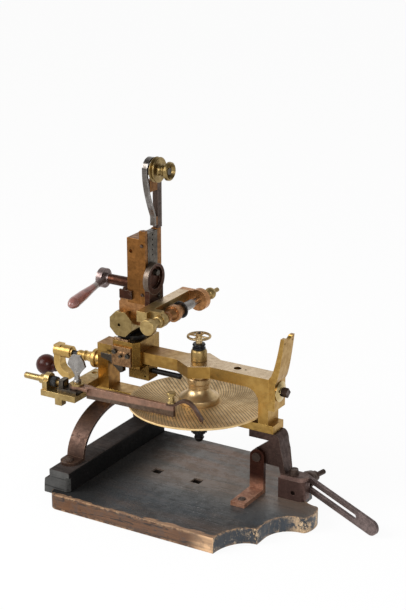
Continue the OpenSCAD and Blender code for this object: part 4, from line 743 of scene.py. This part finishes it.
def board_wood(w, here, place, grain, patina):
    """The bare wood of the board's front: streaked, with painted shade towards the floor, cracked and pale at the
    right.
    """
    wood = chosen("bare_wood")
    bare = w.mix(grain["Streaks"], wood, shaded(wood, 0.5))
    bare = w.mix(grain["Pores"], bare, shaded(wood, 0.16))
    bare = w.over(bare, shaded(wood, 0.35), patina["Clouds"], 0.55)
    bare = w.over(bare, shaded(wood, 0.12), patina["Specks"], 0.8)
    # Painted shade: the wood is darkened towards the floor
    low = w.span(place["Z"], *LOW_SHADE_BAND, 0.9, 0)
    bare = w.over(bare, shaded(wood, 0.28), low, w.span(patina["Mottle"], 0, 0.6, 1, 0.5))
    ripple = w.noise(w.stretched(here, (0.1, 1, 1)), 60)
    off_line = w.math("ABSOLUTE", w.math("SUBTRACT", ripple, 0.5))
    bare = w.mix(w.span(off_line, 0.004, 0.022, 0.9, 0), bare, CRACK)
    right = w.span(place["X"], *PALE_BAND)
    return w.over(bare, PALE_WOOD, right, w.span(grain["Streaks"], 0.3, 0.8, 1, 0.5))


def board_lip(w, here, place):
    """A mask of the ragged worn strip along the front of the board's top, wider towards the right."""
    ragged = w.noise(w.stretched(here, (0.4, 1, 1)), 75, 5, 0.65)
    inset = w.math("ADD", w.math("SUBTRACT", place["Y"], BOARD_LOW.y),
                   w.times(w.math("SUBTRACT", ragged, 0.5), 34 * MM))
    depth = w.span(place["X"], *LIP_BAND, 5 * MM, 13 * MM)
    return w.span(w.math("DIVIDE", inset, depth), 1, 0.6)


def board_side(w, tone, side, here, place, patina):
    """A colour with the board's blue side over it: flaked, peeled at the right end, splintered at its corners."""
    blue = w.over(BLUE, DEEP_BLUE, patina["Clouds"], 0.7)
    flakes = w.span(w.noise(here, 95, 6, 0.72), 0.6, 0.66)
    corner = w.times(side, standing_edges(w, 24 * MM))
    splinter = w.noise(w.stretched(here, (1, 1, 0.6)), 190, 6, 0.75)
    tone = w.mix(side, tone, blue)
    tone = w.over(tone, FLAKE, side, flakes)
    tone = w.over(tone, PEELED, side, w.span(place["X"], *PEELED_BAND), w.span(patina["Mottle"], 0.3, 0.55))
    tone = w.over(tone, CHAR, corner, w.span(splinter, 0.46, 0.5))
    return w.over(tone, SPLINTER, corner, w.span(splinter, 0.54, 0.57))


def board_material():
    """Worn paint on wood: blue-black paint on top, bare brown wood in front, pale chips along the edges, painted
    shadow beside the batten, and painted shade on faces below the top away from the front and right edges.
    """
    material, w, shader = new_material("worn_board")
    coords = w.add("ShaderNodeTexCoord").outputs
    here, place, facing = coords["Object"], w.xyz(coords["Object"]), w.xyz(coords["Normal"])
    grain = w.group("Engine wood grain", Size=70, Seed=2)
    patina = w.group("Engine patina", Size=12, Seed=5)
    wide_edge = w.group("Engine edge wear", Radius=8 * MM, Gain=3.4, Seed=1)
    thin_edge = w.group("Engine edge wear", Radius=1.8 * MM, Gain=4, Seed=4)
    upward = w.span(facing["Z"], 0.5, 0.8)
    front = w.times(w.span(facing["Y"], -0.5, -0.8), w.span(place["Y"], *FACE_BAND))
    border = w.math("MAXIMUM", w.span(place["X"], *RIGHT_BAND), w.span(place["Y"], *FRONT_BAND))
    batten_shadow = w.rest(w.span(place["X"], *BATTEN_SHADOW_BAND, 0.06, 1))
    tone = board_paint(w, place, grain, patina)
    # Painted shadow: the top is painted near black beside the batten, where the batten's shade falls
    tone = w.over(tone, SHADOW, upward, batten_shadow)
    worn_front = w.times(front, w.span(patina["Mottle"], 0.05, 0.35, 0.7, 1))
    tone = w.mix(worn_front, tone, board_wood(w, here, place, grain, patina))
    lip = w.times(upward, board_lip(w, here, place))
    tone = w.over(tone, w.mix(grain["Streaks"], LIP, DARK_LIP), lip, 0.85)
    side = w.times(w.rest(upward), w.rest(front), border)
    tone = board_side(w, tone, side, here, place, patina)
    chips = w.span(w.noise(here, 130, 5, 0.65), 0.46, 0.56)
    tone = w.over(tone, CHIP, wide_edge["Mask"], chips, border)
    tone = w.over(tone, THIN_CHIP, thin_edge["Mask"], w.span(patina["Mottle"], 0.15, 0.6), border)
    # Painted shade: faces more than a few millimetres below the top, away from the right and front edges, are
    # painted near black
    tone = w.over(tone, PIT_SHADE, w.span(place["Z"], *PIT_SHADE_BAND), w.rest(border))
    sheen = w.math("ADD", w.span(patina["Mottle"], 0, 1, 0.34, 0.54), w.times(batten_shadow, 0.4), clamp=True)
    height = w.math("ADD", w.times(grain["Pores"], -0.8), w.times(patina["Mottle"], 0.7))
    surface(w, shader, tone, sheen, height, 0.35, 0.6 * MM)
    return material


def batten_material():
    """Black paint, worn to brown on top, with painted light making it grey in front and painted shade making its
    sides near black, and rubbed along the edges.
    """
    material, w, shader = new_material("black_batten")
    grain = w.group("Engine wood grain", Size=60, Seed=9)
    patina = w.group("Engine patina", Size=18, Seed=7)
    edge = w.group("Engine edge wear", Radius=3.5 * MM, Gain=2, Seed=8)
    facing = w.xyz(w.add("ShaderNodeTexCoord").outputs["Normal"])
    # Painted light and shade: near black sides, and a grey front where the light falls
    side, top, front = (w.mix(patina["Clouds"], *pair) for pair in (BATTEN_SIDE_SHADE, BATTEN_TOP, BATTEN_LIT_FRONT))
    tone = w.mix(w.span(facing["Z"], 0.5, 0.8), side, top)
    tone = w.mix(w.span(facing["Y"], -0.5, -0.8), tone, front)
    tone = w.over(tone, BATTEN_PORE, grain["Pores"], 0.6)
    tone = w.over(tone, BATTEN_EDGE, edge["Mask"], w.span(patina["Mottle"], 0.35, 0.75))
    tone = w.over(tone, BATTEN_SPECK, patina["Specks"], 0.3)
    rough = w.span(patina["Mottle"], 0, 1, 0.66, 0.85)
    surface(w, shader, tone, rough, patina["Mottle"], 0.3, 0.5 * MM)
    shader.inputs["Specular IOR Level"].default_value = 0.18
    return material


def polished_wood(name, colour_name, size, seed, coat, ferrule=None):
    """Polished turned wood or horn, with streaks along X and a clear coat. ferrule is the place along Y where
    a greyer ferrule starts."""
    base = chosen(colour_name)
    material, w, shader = new_material(name)
    grain = w.group("Engine wood grain", Size=size, Seed=seed)
    patina = w.group("Engine patina", Size=40, Seed=seed)
    tone = w.mix(grain["Bands"], base, shaded(base, 0.5))
    tone = w.over(tone, shaded(base, 1.35), grain["Streaks"], 0.5)
    tone = w.over(tone, shaded(base, 0.3), patina["Specks"], 0.6)
    if ferrule is not None:
        tone = w.mix(w.span(w.xyz(w.here())["Y"], ferrule - 4 * MM, ferrule + 4 * MM), tone, FERRULE)
    rough = w.span(patina["Mottle"], 0, 1, 0.24, 0.38)
    surface(w, shader, tone, rough, patina["Grain"], 0.08, 0.2 * MM)
    shader.inputs["Coat Weight"].default_value = coat
    shader.inputs["Coat Roughness"].default_value = 0.18
    shader.inputs["Specular IOR Level"].default_value = 0.25 + 0.4 * coat
    return material


class ENGINE_OT_groups(bpy.types.Operator):
    """Builds the shared patina, edge wear and wood grain groups"""

    bl_idname = "engine.groups"
    bl_label = "Shared effects"

    def execute(self, context):
        make_patina_group()
        make_edge_group()
        make_grain_group()
        return {"FINISHED"}


class ENGINE_OT_brass(bpy.types.Operator):
    """Finishes the brass bars, horn, hub, head and index pieces, and the bronze column, clamp and cone"""

    bl_idname = "engine.brass"
    bl_label = "Brass and bronze pieces"

    def execute(self, context):
        dress(BRASS_NODES, 11)
        dress(BRONZE_NODES, 31)
        bolt = beyond((1, 0, 0), WASHER_END)
        paint_node("horn_bolt", metal_material("washer_and_bolt", 23, "washer_brass", ("iron", bolt)))
        # Painted reflection: the rail's top is paler
        rail = all_of(beyond((0, 0, 1), RAIL_TOP), beyond((0, -1, 0), -RAIL_REAR),
                      beyond((0, 1, 0), RAIL_FRONT, 8 * MM))
        ear = beyond((0, 1, 0), RAIL_REAR)
        paint_node("cutter_frame", metal_material(
            "frame_and_rear_ear", 27, "olive_brass", ("painted_reflection_brass", rail), ("disc_copper", ear)))
        # Painted highlight on the plate's rim wall
        rim = wall((1, 1, 0), (0, 0, 0), PLATE_HIGH.x)
        paint_node("dividing_plate", metal_material("dividing_plate", 29, "plate_brass", ("rim_highlight_brass", rim)))
        top = beyond((0, 0, 1), BAR_TOP)
        # Painted reflection: the bar's top is paler towards the right
        right = all_of(top, beyond((1, 0, 0), BAR_PAINTED_REFLECTION, 30 * MM))
        left = all_of(top, beyond((-1, 0, 0), -BAR_BROWN, 25 * MM))
        paint_node("upper_frame", metal_material(
            "upper_frame", 33, "gold_brass", ("painted_reflection_brass", right), ("brown_brass", left)))
        return {"FINISHED"}


class ENGINE_OT_iron(bpy.types.Operator):
    """Finishes the browned iron strap, leg, stay, lever, alidade and link"""

    bl_idname = "engine.iron"
    bl_label = "Iron pieces"

    def execute(self, context):
        dress(IRON_NODES, 41)
        # Painted shade: the alidade is darker below a sloping plane and coppery above it
        ridge = beyond((-RIDGE_SLOPE, 0, 1), RIDGE_HEIGHT, 1.2 * MM)
        paint_node("alidade", metal_material("alidade_iron", 47, "shaded_underside_iron", ("coppery_iron", ridge)))
        upright = beyond((0, 0, 1), STAY_BEND, 11 * MM)
        paint_node("front_stay", metal_material("stay_iron", 49, "rusty_iron", ("brown_iron", upright)))
        flange = beyond((0, 0, -1), -FLANGE_TOP, 1.5 * MM)
        paint_node("right_leg", metal_material("leg_iron", 57, "leg_iron", ("flange_iron", flange)))
        eye = (EYE_HIGH.y - EYE_LOW.y) / 2
        # Painted highlight on the wall of the plate's eye
        rim = wall((0, 1, 1), (0, EYE_LOW.y + eye, EYE_HIGH.z - eye), eye)
        paint_node("slide_plate", metal_material("eyed_plate", 43, "dark_iron", ("rim_highlight_iron", rim)))
        return {"FINISHED"}


class ENGINE_OT_steel(bpy.types.Operator):
    """Finishes the grey and the blackened steel pieces"""

    bl_idname = "engine.steel"
    bl_label = "Steel pieces"

    def execute(self, context):
        dress(STEEL_NODES, 53)
        spade = beyond((0, 0, 1), SPADE_START)
        paint_node("thumbscrew", metal_material("washer_and_spade", 61, "olive_brass", ("bright_steel", spade)))
        return {"FINISHED"}


class ENGINE_OT_wood(bpy.types.Operator):
    """Finishes the painted board and batten, the crank's knob and the lever's handle"""

    bl_idname = "engine.wood"
    bl_label = "Wooden pieces"

    def execute(self, context):
        paint_node("base_board", board_material())
        paint_node("end_batten", batten_material())
        paint_node("crank_knob", polished_wood("red_wood", "red_wood", 120, 71, 0))
        paint_node("lever_handle", polished_wood("horn_handle", "horn", 90, 77, 0.9, FERRULE_START))
        return {"FINISHED"}


class ENGINE_OT_edges(bpy.types.Operator):
    """Rounds the sharp edges of every CAD piece"""

    bl_idname = "engine.edges"
    bl_label = "Rounded edges"

    def execute(self, context):
        sizes = context.scene.engine_sizes
        wooden = dict.fromkeys(("base_board", "end_batten"), sizes.wood_radius)
        for name, node in frame["nodes"].items():
            weld = node.modifiers.new("weld", "WELD")
            weld.merge_threshold = 0.001 * MM
            flat = node.modifiers.new("flat", "DECIMATE")
            flat.decimate_type = "DISSOLVE"
            flat.angle_limit = math.radians(0.6)
            bevel = node.modifiers.new("edge", "BEVEL")
            bevel.width = wooden.get(name, sizes.edge_radius)
            bevel.segments = 2
            bevel.limit_method = "ANGLE"
            bevel.angle_limit = math.radians(34)
            node.modifiers.new("shading", "WEIGHTED_NORMAL")
            node.data.polygons.foreach_set("use_smooth", np.full(len(node.data.polygons), True))
        return {"FINISHED"}


class ENGINE_OT_threads(bpy.types.Operator):
    """Cuts the lead screw's thread, and adds the micrometer's knurled ring"""

    bl_idname = "engine.threads"
    bl_label = "Threads and knurls"

    def execute(self, context):
        sizes = context.scene.engine_sizes
        material = bpy.data.materials["lead_steel"]
        middle = (LEAD_LOW + LEAD_HIGH) / 2
        length = LEAD_HIGH.x - LEAD_LOW.x
        thread = ((THREAD_START - LEAD_LOW.x) / length, THREAD_END_SHARE)
        rod = threaded_rod((LEAD_LOW.x, middle.y, middle.z), length, (LEAD_HIGH.z - LEAD_LOW.z) / 2,
                           sizes.lead_pitch, sizes.lead_starts, THREAD_DEPTH, thread)
        screw = put_mesh("lead_thread", *rod, material, "crank", "black_steel")
        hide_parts("lead_screw")
        middle = (MICRO_LOW + MICRO_HIGH) / 2
        start = (KNURL_START, middle.y, middle.z)
        ring = fluted_ring(start, KNURL_LENGTH, KNURL_RADIUS, KNURL_FLUTES, KNURL_DEPTH)
        put_mesh("micrometer_knurl", *ring, material, "micrometer", "black_steel")
        return {"FINISHED"}


class ENGINE_OT_holes(bpy.types.Operator):
    """Drills the circles of dividing holes into the plate's face"""

    bl_idname = "engine.holes"
    bl_label = "Dividing holes"

    def execute(self, context):
        sizes = context.scene.engine_sizes
        holes = hole_field(sizes.hole_step, sizes.hole_more, sizes.hole_size, HOLES_INNER, HOLES_OUTER,
                           sizes.hole_start, PLATE_HIGH.z)
        # The holes' dark colour is painted shade
        material = metal_material("drilled_holes", 91, "drilled_holes")
        put_mesh("dividing_holes", *holes, material, "arbor", "brass", smooth=False)
        return {"FINISHED"}


class ENGINE_OT_hub(bpy.types.Operator):
    """Turns the plate's hub with its rim, flare, neck and bead"""

    bl_idname = "engine.hub"
    bl_label = "Turned hub"

    def execute(self, context):
        material = bpy.data.materials["hub_brass"]
        hub = put_mesh("turned_hub", *turned_ring(hub_profile()), material, "arbor", "brass")
        hub.data.set_sharp_from_angle(angle=math.radians(32))
        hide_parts("plate_hub")
        return {"FINISHED"}


class ENGINE_OT_stage(bpy.types.Operator):
    """Sets up the floor, the soft lights, the white surroundings and the camera"""

    bl_idname = "engine.stage"
    bl_label = "Stage"

    def execute(self, context):
        stage = context.scene.engine_stage
        make_floor(stage)
        make_surroundings(stage)
        make_lamp("key_light", KEY_PLACE, KEY_SIZE, stage.key_power)
        make_lamp("fill_light", FILL_PLACE, FILL_SIZE, stage.fill_power)
        make_camera()
        context.scene.view_settings.view_transform = "Standard"
        return {"FINISHED"}


def make_floor(stage):
    """A pale floor just under the board: a disc whose point at radius r and angle t is (r cos t, r sin t). It is
    mostly plain white where it is seen, and keeps the engine's shadow."""
    r, t = np.array(FLOOR_RADII)[:, None], angles(FLOOR_STEPS)
    points = stacked(r * np.cos(t), r * np.sin(t), -FLOOR_DROP)
    faces = grid_faces(len(FLOOR_RADII), FLOOR_STEPS).tolist()
    material = bpy.data.materials.new("pale_floor")
    w = emptied(material)
    matte = w.add("ShaderNodeBsdfDiffuse", {"Color": shaded(WHITE, stage.floor_tone)})
    white = w.add("ShaderNodeEmission")
    rays = w.add("ShaderNodeLightPath").outputs
    seen = w.math("MAXIMUM", rays["Is Glossy Ray"], rays["Is Transmission Ray"])
    seen = w.math("MAXIMUM", rays["Is Camera Ray"], seen)
    share = w.times(seen, FLOOR_WHITE)
    shown = w.add("ShaderNodeMixShader", {0: share, 1: matte.outputs[0], 2: white.outputs[0]})
    w.add("ShaderNodeOutputMaterial", {"Surface": shown.outputs[0]})
    add_mesh("floor", points, faces, material, smooth=False)


def make_surroundings(stage):
    """Even light that falls off towards the zenith, darker from the camera's side in reflections, and plain
    white where the camera sees it."""
    world = bpy.data.worlds.new("studio")
    bpy.context.scene.world = world
    w = emptied(world)
    way = w.add("ShaderNodeTexCoord").outputs["Generated"]
    zenith = w.span(w.xyz(way)["Z"], 0.25, 0.95, 1, 0.6)
    mirrored = w.times(zenith, w.span(w.dot(way, LEVEL_WAY), 0.1, 0.6, 0.26, 1))
    lit = w.times(zenith, stage.sky_level)
    rays = w.add("ShaderNodeLightPath").outputs
    shown = w.math("MAXIMUM", rays["Is Camera Ray"], rays["Is Transmission Ray"])
    strength = w.blend(shown, w.blend(rays["Is Glossy Ray"], lit, mirrored), 1)
    sky = w.add("ShaderNodeBackground", {"Color": WHITE, "Strength": strength})
    w.add("ShaderNodeOutputWorld", {"Surface": sky.outputs[0]})


def aim(item, place, way):
    """Puts a lamp or a camera at a place, looks along a way, and shows it in the scene."""
    item.location = place
    item.rotation_euler = Vector(way).to_track_quat("-Z", "Y").to_euler()
    bpy.context.scene.collection.objects.link(item)


def make_lamp(name, place, size, power):
    """A square soft light that looks at the middle of the engine."""
    data = bpy.data.lights.new(name, "AREA")
    data.energy, data.size = power, size
    aim(bpy.data.objects.new(name, data), place, Vector(LAMP_TARGET) - Vector(place))


def make_camera():
    """The photograph's camera: 30.75 degrees to the right of the front, 19.3 degrees above level."""
    data = bpy.data.cameras.new("camera")
    data.lens, data.clip_start, data.clip_end = CAMERA_LENS, 0.05, 60
    camera = bpy.data.objects.new("camera", data)
    aim(camera, CAMERA_PLACE, CAMERA_WAY)
    bpy.context.scene.camera = camera


class ENGINE_PT_panel(bpy.types.Panel):
    bl_label = "Wheel cutting engine"
    bl_idname = "ENGINE_PT_panel"
    bl_space_type = "VIEW_3D"
    bl_region_type = "UI"
    bl_category = "Engine"

    def draw(self, context):
        for operator in OPERATORS:
            self.layout.operator(operator.bl_idname)
        for name, _ in GROUPS:
            values = getattr(context.scene, name)
            for value in values.__annotations__:
                self.layout.prop(values, value)


OPERATORS = (ENGINE_OT_groups, ENGINE_OT_brass, ENGINE_OT_iron, ENGINE_OT_steel, ENGINE_OT_wood,
             ENGINE_OT_edges, ENGINE_OT_threads, ENGINE_OT_holes, ENGINE_OT_hub, ENGINE_OT_stage)
GROUPS = (("engine_colours", EngineColours), ("engine_sizes", EngineSizes), ("engine_stage", EngineStage))


def register():
    for name, group in GROUPS:
        bpy.utils.register_class(group)
        setattr(bpy.types.Scene, name, bpy.props.PointerProperty(type=group))
    for item in (*OPERATORS, ENGINE_PT_panel):
        bpy.utils.register_class(item)


def unregister():
    for item in reversed((*OPERATORS, ENGINE_PT_panel)):
        bpy.utils.unregister_class(item)
    for name, group in reversed(GROUPS):
        delattr(bpy.types.Scene, name)
        bpy.utils.unregister_class(group)


def main():
    register()
    bpy.ops.engine.groups()
    bpy.ops.engine.brass()
    bpy.ops.engine.iron()
    bpy.ops.engine.steel()
    bpy.ops.engine.wood()
    bpy.ops.engine.edges()
    bpy.ops.engine.threads()
    bpy.ops.engine.holes()
    bpy.ops.engine.hub()
    bpy.ops.engine.stage()


if __name__ == "__main__":
    main()
